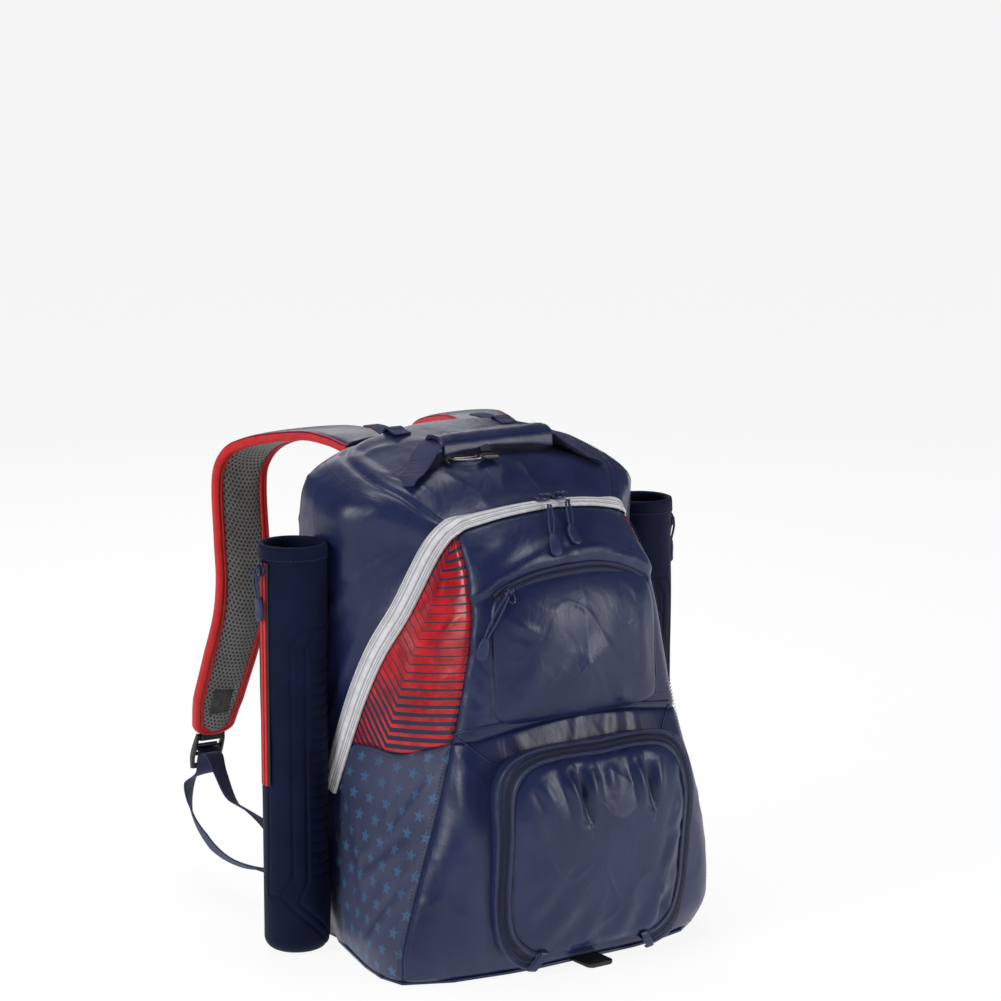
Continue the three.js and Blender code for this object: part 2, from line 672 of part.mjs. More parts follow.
const sleeve_sides = 24;
const sleeve_pull_length = 40;
for (const [side, sign] of [['left', -1], ['right', 1]]) {
  const sleeve = new THREE.Group();
  sleeve.position.set(sign * sleeve_x, sleeve_y, sleeve_lift);
  backpack.add(sleeve);
  const tube = new THREE.LatheGeometry(sleeve_profile(), sleeve_sides).rotateX(Math.PI / 2);
  add_piece(sleeve, `sleeve_${side}`, tube, navy_knit);
  const rim_bottom = sleeve_height - sleeve_lift + seat_gap;
  add_piece(sleeve, `sleeve_rim_${side}`, ring_solid(sleeve_radius - sleeve_wall,
    sleeve_radius, rim_bottom, rim_bottom + sleeve_rim_thickness, sleeve_sides), navy_webbing);
  const angle = THREE.MathUtils.degToRad(sign < 0 ? sleeve_zip_angle : 180 - sleeve_zip_angle);
  const out = new THREE.Vector3(Math.cos(angle), Math.sin(angle), 0);
  const wide = new THREE.Vector3(-out.y, out.x, 0);
  const reach = sleeve_radius + seat_gap + sleeve_zip_thickness / 2;
  const zip_top = sleeve_height - sleeve_rim_height;
  const frames = [sleeve_zip_bottom, (sleeve_zip_bottom + zip_top) / 2, zip_top].map((z) => ({
    point: out.clone().multiplyScalar(reach).setZ(z), wide, thick: out }));
  add_piece(sleeve, `sleeve_zip_${side}`,
    sweep_solid(frames, flat_section(sleeve_zip_width, sleeve_zip_thickness)), bright_red);
  const pull_reach = reach + sleeve_zip_thickness / 2 + seat_gap + slider_thickness / 2;
  const slider = [zip_top - slider_length, zip_top].map((z) => ({
    point: out.clone().multiplyScalar(pull_reach).setZ(z), wide, thick: out }));
  add_piece(sleeve, `sleeve_slider_${side}`,
    sweep_solid(slider, flat_section(slider_width, slider_thickness)), black_plastic);
  const pull_top = zip_top - slider_length;
  const pull = [pull_top - sleeve_pull_length, pull_top - sleeve_pull_length / 2,
    pull_top - seat_gap].map((z) => ({
    point: out.clone().multiplyScalar(pull_reach).setZ(z), wide, thick: out }));
  add_piece(sleeve, `sleeve_pull_${side}`,
    sweep_solid(pull, flat_section(pull_width, pull_thickness)), navy_webbing);
}

// Shoulder straps: a padded core with a red binding round its sides and tip
function line_points(line, sign) {
  return line.map((row) => ({
    point: new THREE.Vector3(sign * row.out * half_width, row.behind * half_depth, row.up * rim_height),
    wide_share: row.wide ?? 1,
    turn: row.turn ?? 0,
  }));
}

function curve_through(line, sign) {
  return new THREE.CatmullRomCurve3(line_points(line, sign).map((spot) => spot.point), false,
    'centripetal');
}

// Frames along a hanging strap: its width lies across the bag, turned by the line's own turn
function strap_frames(line, sign, count, start = 0, end = 1) {
  const spots = line_points(line, sign);
  const curve = curve_through(line, sign);
  return Array.from({ length: count }, (_, k) => {
    const t = start + ((end - start) * k) / (count - 1);
    const place = t * (spots.length - 1);
    const before = Math.min(spots.length - 2, Math.floor(place));
    const blend = place - before;
    const turn = spots[before].turn * (1 - blend) + spots[before + 1].turn * blend;
    const scale = spots[before].wide_share * (1 - blend) + spots[before + 1].wide_share * blend;
    const along = curve.getTangent(t);
    const flat = new THREE.Vector3(1, 0, 0).addScaledVector(along, -along.x).normalize();
    const wide = flat.applyAxisAngle(along, sign * THREE.MathUtils.degToRad(turn));
    const thick = new THREE.Vector3().crossVectors(along, wide).normalize();
    return { point: curve.getPoint(t), wide, thick, scale, along };
  });
}

const pad_half = strap_width / 2 - binding_width - seat_gap;
const strap_steps = 24;
const webbing_steps = 20;
const tail_steps = 18;
const slot_half_height = 3;
const slot_middles = [0.34, 0.72];
const slot_side_play = 1;
const tail_seat_share = 1.6;

function buckle_plate() {
  const half = buckle_width / 2;
  const plate = new THREE.Shape([[-half, 0], [half, 0], [half, buckle_length], [-half, buckle_length]]
    .map(([x, y]) => new THREE.Vector2(x, y)));
  const half_slot = webbing_width / 2 + slot_side_play;
  for (const middle of slot_middles) {
    const y = middle * buckle_length;
    const low = y - slot_half_height;
    const high = y + slot_half_height;
    plate.holes.push(new THREE.Path([[-half_slot, low], [half_slot, low], [half_slot, high],
      [-half_slot, high]].map(([x, z]) => new THREE.Vector2(x, z))));
  }
  return new THREE.ExtrudeGeometry(plate, { depth: buckle_thickness, bevelEnabled: false });
}

// A row that puts a line's first point at a place in space
function row_at(point, turn) {
  return { out: Math.abs(point.x) / half_width, behind: point.y / half_depth,
    up: point.z / rim_height, turn };
}

for (const [side, sign] of [['left', -1], ['right', 1]]) {
  const frames = strap_frames(strap_line, sign, strap_steps);
  add_piece(backpack, `strap_${side}`,
    sweep_solid(frames.slice(0, -1), flat_section(2 * pad_half, strap_thickness)), mesh_grey);
  const binding_reach = (f) => f.scale * pad_half + seat_gap + binding_width / 2;
  const edge_frames = (edge) => frames.map((f) => ({
    point: f.point.clone().addScaledVector(f.wide, edge * binding_reach(f)),
    wide: f.wide.clone().multiplyScalar(edge),
    thick: f.thick,
  }));
  const tip = frames[frames.length - 1];
  const tip_reach = binding_reach(tip);
  const tip_frames = [45, 90, 135].map((degrees) => {
    const angle = THREE.MathUtils.degToRad(degrees);
    const wide = tip.wide.clone().multiplyScalar(Math.cos(angle))
      .addScaledVector(tip.along, Math.sin(angle));
    const point = tip.point.clone().addScaledVector(tip.wide, tip_reach * Math.cos(angle))
      .addScaledVector(tip.along, 0.5 * tip_reach * Math.sin(angle));
    return { point, wide, thick: tip.thick };
  });
  add_piece(backpack, `strap_binding_${side}`, sweep_solid(
    [...edge_frames(1), ...tip_frames, ...edge_frames(-1).reverse()],
    flat_section(binding_width, strap_thickness + 1)), bright_red);

  // The ladder buckle hangs from the tip
  const back_face = new THREE.Vector3().crossVectors(tip.wide, tip.along);
  const start = tip.point.clone()
    .addScaledVector(tip.along, 0.5 * tip_reach + binding_width / 2 + seat_gap)
    .addScaledVector(back_face, -buckle_thickness / 2);
  const buckle = add_piece(backpack, `buckle_${side}`, buckle_plate(), black_plastic);
  buckle.quaternion.setFromRotationMatrix(new THREE.Matrix4().makeBasis(tip.wide, tip.along, back_face));
  buckle.position.copy(start);

  const lower_end = start.clone().addScaledVector(tip.along, buckle_length + 7 * seat_gap)
    .addScaledVector(back_face, buckle_thickness / 2);
  add_piece(backpack, `lower_webbing_${side}`, sweep_solid(
    strap_frames([row_at(lower_end, 0), ...lower_webbing_line], sign, webbing_steps),
    flat_section(webbing_width, webbing_thickness)), navy_webbing);
  const forward = back_face.y > 0 ? -1 : 1;
  const face_gap = seat_gap + tail_seat_share * webbing_thickness;
  const slot_edge = slot_middles[0] * buckle_length + slot_half_height;
  const tail_start = start.clone().addScaledVector(tip.along, slot_edge + webbing_thickness)
    .addScaledVector(back_face, forward < 0 ? -face_gap : buckle_thickness + face_gap);
  add_piece(backpack, `webbing_tail_${side}`, sweep_solid(
    strap_frames([row_at(tail_start, 0), ...tail_line], sign, tail_steps),
    flat_section(tail_width, webbing_thickness)), navy_webbing);
}

// Height of the top at a place, found on the body's own surface
function top_height(x, y) {
  const target = Math.atan2(Math.abs(x), top_middle_y - y);
  let low = 0;
  let high = 1;
  for (let k = 0; k < 30; k += 1) {
    const middle = (low + high) / 2;
    const [rim_x, rim_y] = section_point(middle, 1);
    if (Math.atan2(rim_x, top_middle_y - rim_y) < target) low = middle;
    else high = middle;
  }
  const [rim_x, rim_y] = section_point(low, 1);
  const inward = 1 - Math.hypot(x, y - top_middle_y) / Math.hypot(rim_x, rim_y - top_middle_y);
  return body_point(low, 1 + Math.max(0, inward)).z;
}

// A ribbon through places. Each spot has a point and, where its width follows a slope, its own "wide".
function ribbon_solid(spots, across, width, thickness) {
  const frames = spots.map((spot, k) => {
    const along = spots[Math.min(spots.length - 1, k + 1)].point.clone()
      .sub(spots[Math.max(0, k - 1)].point).normalize();
    const wide = (spot.wide ?? across).clone();
    wide.addScaledVector(along, -along.dot(wide)).normalize();
    return { point: spot.point, wide, thick: new THREE.Vector3().crossVectors(along, wide).normalize() };
  });
  return sweep_solid(frames, flat_section(width, thickness));
}

// A spot of a ribbon that lies on the top, tilted as the top is under its two edges
function lying_spot(x, y, across, width, lift) {
  const edge = (sign) => {
    const px = x + sign * across.x * width / 2;
    const py = y + sign * across.y * width / 2;
    return new THREE.Vector3(px, py, top_height(px, py));
  };
  const near = edge(-1);
  const far = edge(1);
  const middle_z = Math.max(top_height(x, y), (near.z + far.z) / 2);
  return { point: new THREE.Vector3(x, y, middle_z + lift), wide: far.sub(near).normalize() };
}

// The carrying handle: a folded grip held by webbing that runs down to the top seams
const backward = new THREE.Vector3(0, 1, 0);
const sideward = new THREE.Vector3(1, 0, 0);
const grip_middle = top_height(0, grip_y) + grip_clearance + grip_thickness / 2;
const grip_arch = 1.5;
const grip_spots = [-1, -0.6, -0.2, 0.2, 0.6, 1].map((share) => ({ point: new THREE.Vector3(
  share * grip_half_length, grip_y, grip_middle - grip_arch * share * share) }));
add_piece(backpack, 'handle_grip', ribbon_solid(grip_spots, backward, grip_width, grip_thickness), navy);

const webbing_clearance = 3.3;
const webbing_seat = webbing_thickness / 2 + webbing_clearance;
const webbing_reach = 40;
const webbing_slant = 16;
for (const [side, sign] of [['left', -1], ['right', 1]]) {
  const spots = [0, 0.2, 0.45, 0.6, 0.8, 1].map((share) => {
    const x = sign * (grip_half_length + 4 + share * webbing_reach);
    const y = grip_y - webbing_slant * share;
    const spot = lying_spot(x, y, backward, handle_webbing_width, webbing_seat);
    const settle = Math.min(1, share / 0.45);
    const smooth = settle * settle * (3 - 2 * settle);
    spot.point.z = (grip_middle - grip_arch) * (1 - smooth) + spot.point.z * smooth;
    spot.wide = backward.clone().lerp(spot.wide, smooth);
    return spot;
  });
  add_piece(backpack, `handle_webbing_${side}`,
    ribbon_solid(spots, backward, handle_webbing_width, webbing_thickness), navy_webbing);

  // A webbing tab ties the strap's root to the top
  const root = strap_frames(strap_line, sign, 2)[0].point;
  const tab_x = root.x - sign * 0.2 * strap_width;
  const strap_top = 0.997 * rim_height + strap_thickness / 2 + webbing_thickness / 2 + 2 * seat_gap;
  const tab = [[0.7, 0], [0.78, 0], [0.85, 0.2], [0.98, 1], [1.1, 1]].map(([behind, settle]) => {
    const y = behind * half_depth;
    const top = top_height(tab_x, Math.min(y, 0.84 * half_depth)) + webbing_seat;
    return { point: new THREE.Vector3(tab_x, y, top + (strap_top - top) * settle) };
  });
  add_piece(backpack, `strap_tab_${side}`,
    ribbon_solid(tab, sideward, tab_width, webbing_thickness), navy_webbing);
}

// A wire hook for hanging the bag on a fence, folded down on the top in front of the grip
const hook_line = [[-50, 12], [-44, 8], [-30, 4], [-14, 3], [-6, 7], [-6, 14], [-14, 17]];
const hook_spots = hook_line.map(([x, y]) => (
  new THREE.Vector3(x, y, top_height(x, y) + hook_wire + 6 * seat_gap)));
const hook_curve = new THREE.CatmullRomCurve3(hook_spots);
const hook_steps = 18;
add_piece(backpack, 'fence_hook', sweep_solid(Array.from({ length: hook_steps + 1 }, (_, k) => {
  const along = hook_curve.getTangent(k / hook_steps);
  const wide = new THREE.Vector3().crossVectors(along, new THREE.Vector3(0, 0, 1)).normalize();
  return { point: hook_curve.getPoint(k / hook_steps), wide,
    thick: new THREE.Vector3().crossVectors(along, wide).normalize() };
}), round_section(hook_wire, 6)), dark_metal);

// The foot under the front pocket is a rounded bar against the base panel's front edge
const foot_back = section_point(0, 0)[1] - seat_gap - 0.4;
const foot_outline = new THREE.Shape([[-1, 0], [1, 0], [1, -0.8], [0.86, -1], [-0.86, -1], [-1, -0.8]]
  .map(([x, y]) => new THREE.Vector2(x * foot_half_length, foot_back + y * foot_reach)));
add_piece(backpack, 'front_foot',
  new THREE.ExtrudeGeometry(foot_outline, { depth: foot_height, bevelEnabled: false }), black_plastic);

export default backpack;
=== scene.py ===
"""A standing backpack for two bats: soft cloth panels, zips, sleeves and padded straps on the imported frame.

Lengths in the shapes are millimetres in the row frame (+X right, -Y front, +Z up). A mesh is made in
metres. Lengths in the materials are metres.
"""
import math

import bmesh
import bpy
import numpy as np
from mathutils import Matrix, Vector
from mathutils.bvhtree import BVHTree
from mathutils.kdtree import KDTree


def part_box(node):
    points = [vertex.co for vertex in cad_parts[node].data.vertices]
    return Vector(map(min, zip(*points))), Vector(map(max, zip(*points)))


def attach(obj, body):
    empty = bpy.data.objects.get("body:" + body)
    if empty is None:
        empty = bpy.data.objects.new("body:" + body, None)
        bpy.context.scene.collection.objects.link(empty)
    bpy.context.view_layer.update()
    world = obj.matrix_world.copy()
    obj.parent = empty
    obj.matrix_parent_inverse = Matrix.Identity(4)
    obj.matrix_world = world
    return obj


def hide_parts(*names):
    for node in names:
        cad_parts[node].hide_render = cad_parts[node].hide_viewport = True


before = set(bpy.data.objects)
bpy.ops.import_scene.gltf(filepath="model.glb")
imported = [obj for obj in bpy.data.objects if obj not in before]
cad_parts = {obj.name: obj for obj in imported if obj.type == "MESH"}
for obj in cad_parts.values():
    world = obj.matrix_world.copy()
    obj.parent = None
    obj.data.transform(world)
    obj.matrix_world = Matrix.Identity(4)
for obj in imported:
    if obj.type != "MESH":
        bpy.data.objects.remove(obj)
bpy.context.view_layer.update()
MM = 0.001
TAU = 2 * math.pi

# The body's form
HALF_WIDTH, HALF_DEPTH = 172.0, 132.0
RIM_HEIGHT, FRONT_HEIGHT = 476.0, 415.0
CROWN, CROWN_SWELL, CROWN_HALF = 15.0, 0.1, 0.64
WALL, BASE, SEAM_GAP, CORNER = 2.5, 3.0, 0.5, 38.0
LEFT_FLARE, RIGHT_TUCK, FLARE_HEIGHT = 14.0, 16.0, 0.45
TOP_MIDDLE_Y = 0.27 * HALF_DEPTH
ZIP_AROUND, ZIP_END, ZIP_TOP, EDGE_AROUND = 0.6, 0.359, 1.012, 0.36
ARCH_AROUND = 0.588
FRONT_SEAM, EDGE_SEAM, SIDE_SEAM = 0.552, 0.535, 0.359 / 0.835
ARCH_POWER = 14.0
RIM_PACE = 4.5

LEVELS = {
    "up": [0.0, 0.07, 0.23, 0.36, 0.54, 0.67, 0.8, 0.9, 0.955, 0.985, 1.0],
    "side": [0.93, 0.988, 1.0, 1.0, 1.0, 1.0, 1.0, 0.994, 0.971, 0.884, 0.727],
    "zip_x": [0.965, 0.992, 0.996, 0.994, 0.965, 0.913, 0.814, 0.709, 0.645, 0.593, 0.564],
    "zip_y": [0.288, 0.3, 0.32, 0.31, 0.121, 0.023, -0.083, -0.167, -0.235, -0.28, -0.303],
    "edge_x": [1.0, 1.035, 0.965, 0.872, 0.75, 0.68, 0.622, 0.593, 0.576, 0.558, 0.547],
    "edge_y": [-0.697, -0.727, -0.727, -0.712, -0.697, -0.705, -0.689, -0.591, -0.477, -0.402, -0.356],
    "wing_x": [0.512, 0.605, 0.657, 0.651, 0.57, 0.5, 0.453, 0.419, 0.39, 0.36, 0.349],
    "wing_y": [-0.924, -0.97, -0.985, -0.985, -0.848, -0.826, -0.803, -0.697, -0.576, -0.5, -0.455],
    "front": [-0.947, -0.992, -1.023, -1.015, -0.917, -0.902, -0.856, -0.773, -0.652, -0.568, -0.523],
    "back": [0.97, 1.0, 1.0, 1.0, 1.0, 1.0, 1.0, 0.992, 0.97, 0.917, 0.848],
}
TOP_SEAM = {"along": [-0.523, -0.27, 0.0, 0.28, 0.75, 1.0], "high": [0.0, 0.02, 0.46, 0.67, 0.93, 1.0]}
STATIONS = [0, 0.22, EDGE_AROUND, ZIP_AROUND, 0.68, 0.74, 0.8, 0.86, 1]


def hermite(places, values, at):
    """Smooth curve through values at rising places, one column of values for each point or one for all."""
    places, values, at = np.asarray(places, float), np.asarray(values, float), np.asarray(at, float)
    flat = np.clip(at.ravel(), places[0], places[-1])
    if values.ndim == 1:
        values = np.broadcast_to(values[:, None], (len(values), flat.size))
    last = len(places) - 1
    k = np.clip(np.searchsorted(places, flat, side="left") - 1, 0, last - 1)
    steps = np.arange(last + 1)
    before, after = np.maximum(0, steps - 1), np.minimum(last, steps + 1)
    slope = (values[after] - values[before]) / (places[after] - places[before])[:, None]
    n = np.arange(flat.size)
    span = places[k + 1] - places[k]
    t = (flat - places[k]) / span
    out = ((2 * t**3 - 3 * t**2 + 1) * values[k, n] + (t**3 - 2 * t**2 + t) * span * slope[k, n]
           + (3 * t**2 - 2 * t**3) * values[k + 1, n] + (t**3 - t**2) * span * slope[k + 1, n])
    return out.reshape(at.shape)


def section(around, up):
    around, up = np.broadcast_arrays(np.asarray(around, float), np.asarray(up, float))
    a, u = around.ravel(), up.ravel()
    share = {name: hermite(LEVELS["up"], column, u) for name, column in LEVELS.items() if name != "up"}
    flare = np.maximum(0, 1 - u / FLARE_HEIGHT) ** 2 * np.where(a < 0, LEFT_FLARE, -RIGHT_TUCK)
    side, back = share["side"] * HALF_WIDTH, share["back"] * HALF_DEPTH
    bend = CORNER * (1 - math.sqrt(0.5))
    zip_y = share["zip_y"] * HALF_DEPTH
    xs = np.stack([0 * u, share["wing_x"] * HALF_WIDTH, share["edge_x"] * HALF_WIDTH + flare,
                   share["zip_x"] * HALF_WIDTH + 0.25 * flare, side, side, side - bend, side - CORNER, 0 * u])
    ys = np.stack([share["front"] * HALF_DEPTH, share["wing_y"] * HALF_DEPTH, share["edge_y"] * HALF_DEPTH,
                   zip_y, 0.5 * (zip_y + back - CORNER), back - CORNER, back - bend, back, back])
    x, y = hermite(STATIONS, xs, np.abs(a)), hermite(STATIONS, ys, np.abs(a))
    return np.where(a < 0, -x, x).reshape(around.shape), y.reshape(around.shape)


def seam_height(x, y):
    high = hermite(TOP_SEAM["along"], TOP_SEAM["high"], y / HALF_DEPTH)
    across = np.minimum(1, (x / (CROWN_HALF * HALF_WIDTH)) ** 2)
    return FRONT_HEIGHT + high * (RIM_HEIGHT - FRONT_HEIGHT) + CROWN * (1 - across)


def body(around, up):
    """Points of the body's outside: up 0 to 1 over the wall, on to 2 over the top to its middle."""
    around, up = np.broadcast_arrays(np.asarray(around, float), np.asarray(up, float))
    around = (around + 1) % 2 - 1
    wall = np.clip(up, 0, 1)
    x, y = section(around, wall)
    floor = BASE + SEAM_GAP
    z = floor + wall * (seam_height(x, y) - floor)
    inward = np.clip(up - 1, 0, 1)
    top_x, top_y = x * (1 - inward), y + (TOP_MIDDLE_Y - y) * inward
    top_z = seam_height(top_x, top_y) + CROWN_SWELL * CROWN * (1 - (1 - inward) ** 2)
    over = up > 1
    return np.stack([np.where(over, top_x, x), np.where(over, top_y, y), np.where(over, top_z, z)], -1)


def unit(v):
    return v / np.maximum(np.linalg.norm(v, axis=-1, keepdims=True), 1e-9)


def over_body(around, up):
    """The body with its top run on over the rim at the wall's pace."""
    up = np.asarray(up, float)
    return body(around, np.where(up > 1, 1 + (up - 1) * RIM_PACE, up))


def slopes(around, up, form=over_body, step=3e-3):
    along = (form(around + step, up) - form(around - step, up)) / (2 * step)
    rising = (form(around, up + step) - form(around, up - step)) / (2 * step)
    return along, rising


def body_out(around, up, form=over_body):
    along, rising = slopes(around, up, form)
    return unit(np.cross(along, rising))


def front_spot(x, z):
    """Around and up of the front at places given as x and z."""
    x, z = np.broadcast_arrays(np.asarray(x, float), np.asarray(z, float))
    sign = np.where(x < 0, -1.0, 1.0)
    up = z / (FRONT_HEIGHT + CROWN)
    around = np.zeros_like(x)
    for _ in range(3):
        low, high = np.zeros_like(x), np.full_like(x, ZIP_AROUND)
        for _ in range(16):
            middle = (low + high) / 2
            short = np.abs(body(sign * middle, np.minimum(up, 1))[..., 0]) < np.abs(x)
            low, high = np.where(short, middle, low), np.where(short, high, middle)
        around = sign * (low + high) / 2
        up = np.clip(up * z / np.maximum(body(around, np.minimum(up, 1))[..., 2], 1), 0, 1)
    return around, up


def seam_up(around):
    a = np.abs(around)
    blend = np.clip((a - EDGE_AROUND) / (ZIP_AROUND + 0.026 - EDGE_AROUND), 0, 1)
    front = FRONT_SEAM + (EDGE_SEAM - FRONT_SEAM) * np.minimum(1, a / EDGE_AROUND)
    return np.where(a < EDGE_AROUND, front, EDGE_SEAM + (SIDE_SEAM - EDGE_SEAM) * blend)


def arch_up(around, inset=0.0):
    """Height share of the zip's arch over a place around the front."""
    a = np.clip(np.abs(around) / (ARCH_AROUND - inset), 0, 1)
    return ZIP_END + (ZIP_TOP - inset * 0.6 - ZIP_END) * (1 - a**ARCH_POWER) ** (1 / ARCH_POWER)


def arch_around(up):
    u = np.clip((np.asarray(up, float) - ZIP_END) / (ZIP_TOP - ZIP_END), 0, 1)
    return ARCH_AROUND * (1 - u**ARCH_POWER) ** (1 / ARCH_POWER)


# Folds and crumples of cloth
def noise(p, size, seed=0):
    """Smooth noise from -1 to 1 with hills about one size apart. The size may differ by axis."""
    q = np.asarray(p, float) / np.asarray(size, float) + 17.31 * seed + 4.7
    cell = np.floor(q).astype(np.int64)
    f = q - cell
    f = f * f * f * (f * (f * 6 - 15) + 10)

    def corner(dx, dy, dz):
        h = ((cell[..., 0] + dx) * 374761393 + (cell[..., 1] + dy) * 668265263
             + (cell[..., 2] + dz) * 1274126177 + seed * 974711) & 0xFFFFFFFF
        h = ((h ^ (h >> 13)) * 1103515245 + 12345) & 0xFFFFFFFF
        h = ((h ^ (h >> 16)) * 2246822519) & 0xFFFFFFFF
        return (h >> 8) / 8388608.0 - 1.0

    total = 0
    for dx in (0, 1):
        for dy in (0, 1):
            for dz in (0, 1):
                weight = np.where(dx, f[..., 0], 1 - f[..., 0]) * np.where(dy, f[..., 1], 1 - f[..., 1])
                total = total + weight * np.where(dz, f[..., 2], 1 - f[..., 2]) * corner(dx, dy, dz)
    return total


def crumple(p, amount=1.0, seed=0, size=1.0):
    """Soft hollows with a few sharper creases, as coated cloth has."""
    p = np.asarray(p, float)
    turned = np.stack([p[..., 0] * 0.8 + p[..., 2] * 0.6, p[..., 1], p[..., 2] * 0.8 - p[..., 0] * 0.6], -1)
    warp = 9 * size * noise(p, 45 * size, seed + 5)[..., None]
    soft = noise(p, (60 * size, 60 * size, 85 * size), seed)
    small = noise(turned + warp, (26 * size, 26 * size, 34 * size), seed + 1)
    ridge = 1 - 2.4 * np.abs(noise(turned + warp, (34 * size, 34 * size, 58 * size), seed + 2))
    return amount * (0.9 * soft + 0.4 * small + 1.1 * np.maximum(0, ridge) ** 2)


def stroke(p, start, end, width, depth, lean=0.6):
    """One fold from start to end: a crest with a hollow beside it, tapering out at both ends."""
    start, end = np.asarray(start, float), np.asarray(end, float)
    line = end - start
    t = np.clip(((p - start) @ line) / (line @ line), 0, 1)
    away = p - (start + t[..., None] * line)
    distance = np.linalg.norm(away, axis=-1)
    facing = np.cross(unit(line), unit(start - np.array([0, 60.0, 0]) + 1e-6))
    side = np.sign(away @ facing) * distance
    taper = np.sin(math.pi * (0.06 + 0.88 * t)) ** 0.7
    crest = np.exp(-((side / width) ** 2))
    hollow = np.exp(-(((side - 1.5 * width) / width) ** 2))
    return depth * taper * (crest - lean * hollow)


def front_folds(p, rows):
    """Folds from a table whose rows give x, z at both ends, width and depth."""
    total = 0
    for row in rows:
        ends = []
        for x, z in ((row["x0"], row["z0"]), (row["x1"], row["z1"])):
            a, u = front_spot(np.array([x]), np.array([z]))
            ends.append(body(a, u)[0] + body_out(a, u)[0] * row.get("proud", 0))
        total = total + stroke(p, ends[0], ends[1], row["width"], row["depth"], row.get("lean", 0.6))
    return total


def edge_dip(p, depth=1.3, reach=3.0, edges="lrbt"):
    """How far a panel sinks towards its sewn edges, from the distance along the panel's own grid."""
    across = np.linalg.norm(np.diff(p, axis=1), axis=-1)
    rising = np.linalg.norm(np.diff(p, axis=0), axis=-1)
    left = np.concatenate([np.zeros((p.shape[0], 1)), np.cumsum(across, 1)], 1)
    low = np.concatenate([np.zeros((1, p.shape[1])), np.cumsum(rising, 0)], 0)
    ways = {"l": left, "r": left[:, -1:] - left, "b": low, "t": low[-1:] - low}
    total = 0
    for edge in edges:
        total = total + np.exp(-((ways[edge] / reach) ** 2))
    return -depth * np.minimum(total, 1), left, low


# Meshes
def hold(name, points, faces, finish, replaced=(), uv=None):
    """A piece in the scene from points in millimetres, riding on the bag. uv holds one pair per corner."""
    mesh = bpy.data.meshes.new(name)
    mesh.from_pydata((np.asarray(points).reshape(-1, 3) * MM).tolist(), [], [list(f) for f in faces])
    if uv is not None:
        layer = mesh.uv_layers.new(name="cloth")
        layer.data.foreach_set("uv", (np.asarray(uv, float) * MM).ravel())
    mesh.materials.append(finish)
    mesh.polygons.foreach_set("use_smooth", [True] * len(mesh.polygons))
    mesh.update()
    piece = bpy.data.objects.new(name, mesh)
    bpy.context.scene.collection.objects.link(piece)
    return place(piece, replaced)


def place(piece, replaced=()):
    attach(piece, "root")
    if replaced:
        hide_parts(*([replaced] if isinstance(replaced, str) else replaced))
    return piece


def lengths(p, axis):
    steps = np.linalg.norm(np.diff(p, axis=axis), axis=-1)
    zero = np.zeros((1, p.shape[1])) if axis == 0 else np.zeros((p.shape[0], 1))
    return np.concatenate([zero, np.cumsum(steps, axis)], axis)


def grid_piece(name, p, finish, replaced=(), round_way=False, caps=False, keep=None, flip=False):
    """A piece over a grid of points, rows up and columns across. The UV map holds lengths along both."""
    rows, columns = p.shape[:2]
    ring = np.concatenate([p, p[:, :1]], 1) if round_way else p
    u, v = lengths(ring, 1), lengths(ring, 0)
    j, i = np.meshgrid(np.arange(rows - 1), np.arange(ring.shape[1] - 1), indexing="ij")
    if keep is not None:
        j, i = j[keep], i[keep]
    j, i = j.ravel(), i.ravel()
    after = (i + 1) % columns
    faces = np.stack([j * columns + i, j * columns + after, (j + 1) * columns + after,
                      (j + 1) * columns + i], -1)
    corners = np.stack([np.stack([u[j, i], v[j, i]], -1), np.stack([u[j, i + 1], v[j, i + 1]], -1),
                        np.stack([u[j + 1, i + 1], v[j + 1, i + 1]], -1),
                        np.stack([u[j + 1, i], v[j + 1, i]], -1)], 1)
    faces, uv = faces.tolist(), corners.reshape(-1, 2).tolist()
    if caps:
        faces.append(list(range(columns))[::-1])
        uv += [[0, 0]] * columns
        faces.append([(rows - 1) * columns + k for k in range(columns)])
        uv += [[0, 0]] * columns
    if flip:
        faces = [f[::-1] for f in faces]
        starts = np.cumsum([0] + [len(f) for f in faces])
        uv = [pair for a, b in zip(starts[:-1], starts[1:]) for pair in uv[a:b][::-1]]
    used = np.zeros(rows * columns, bool)
    used[[k for f in faces for k in f]] = True
    number = np.cumsum(used) - 1
    return hold(name, p.reshape(-1, 3)[used], [[int(number[k]) for k in f] for f in faces], finish,
                replaced, uv)


def thicken(piece, thickness):
    wall = piece.modifiers.new("wall", "SOLIDIFY")
    wall.thickness = thickness * MM
    wall.offset = -1
    wall.use_even_offset = False
    return piece


def soften(piece, width, segments=2, angle=35):
    edge = piece.modifiers.new("edge", "BEVEL")
    edge.width = width * MM
    edge.segments = segments
    edge.limit_method = "ANGLE"
    edge.angle_limit = math.radians(angle)
    return piece


def path_frames(points, wide):
    """Unit vectors along a path, across it near the wide direction, and square to both."""
    points = np.asarray(points, float)
    along = unit(np.gradient(points, axis=0))
    wide = np.broadcast_to(np.asarray(wide, float), points.shape)
    wide = unit(wide - along * np.sum(wide * along, -1, keepdims=True))
    return along, wide, np.cross(along, wide)


def sweep(name, points, wide, outline, finish, replaced=(), scale=None, closed=False, flip=False):
    """A solid swept along a path. The outline is (wide, thick) pairs, one list or one for each point."""
    points = np.asarray(points, float)
    _, across, thick = path_frames(points, wide)
    outline = np.asarray(outline, float)
    if outline.ndim == 2:
        outline = np.broadcast_to(outline, (len(points),) + outline.shape).copy()
    if scale is not None:
        outline = outline * np.asarray(scale)[:, None, :]
    p = points[:, None] + across[:, None] * outline[..., :1] + thick[:, None] * outline[..., 1:]
    if closed:
        p = np.concatenate([p, p[:1]])
    return grid_piece(name, p, finish, replaced, round_way=True, caps=not closed, flip=flip)


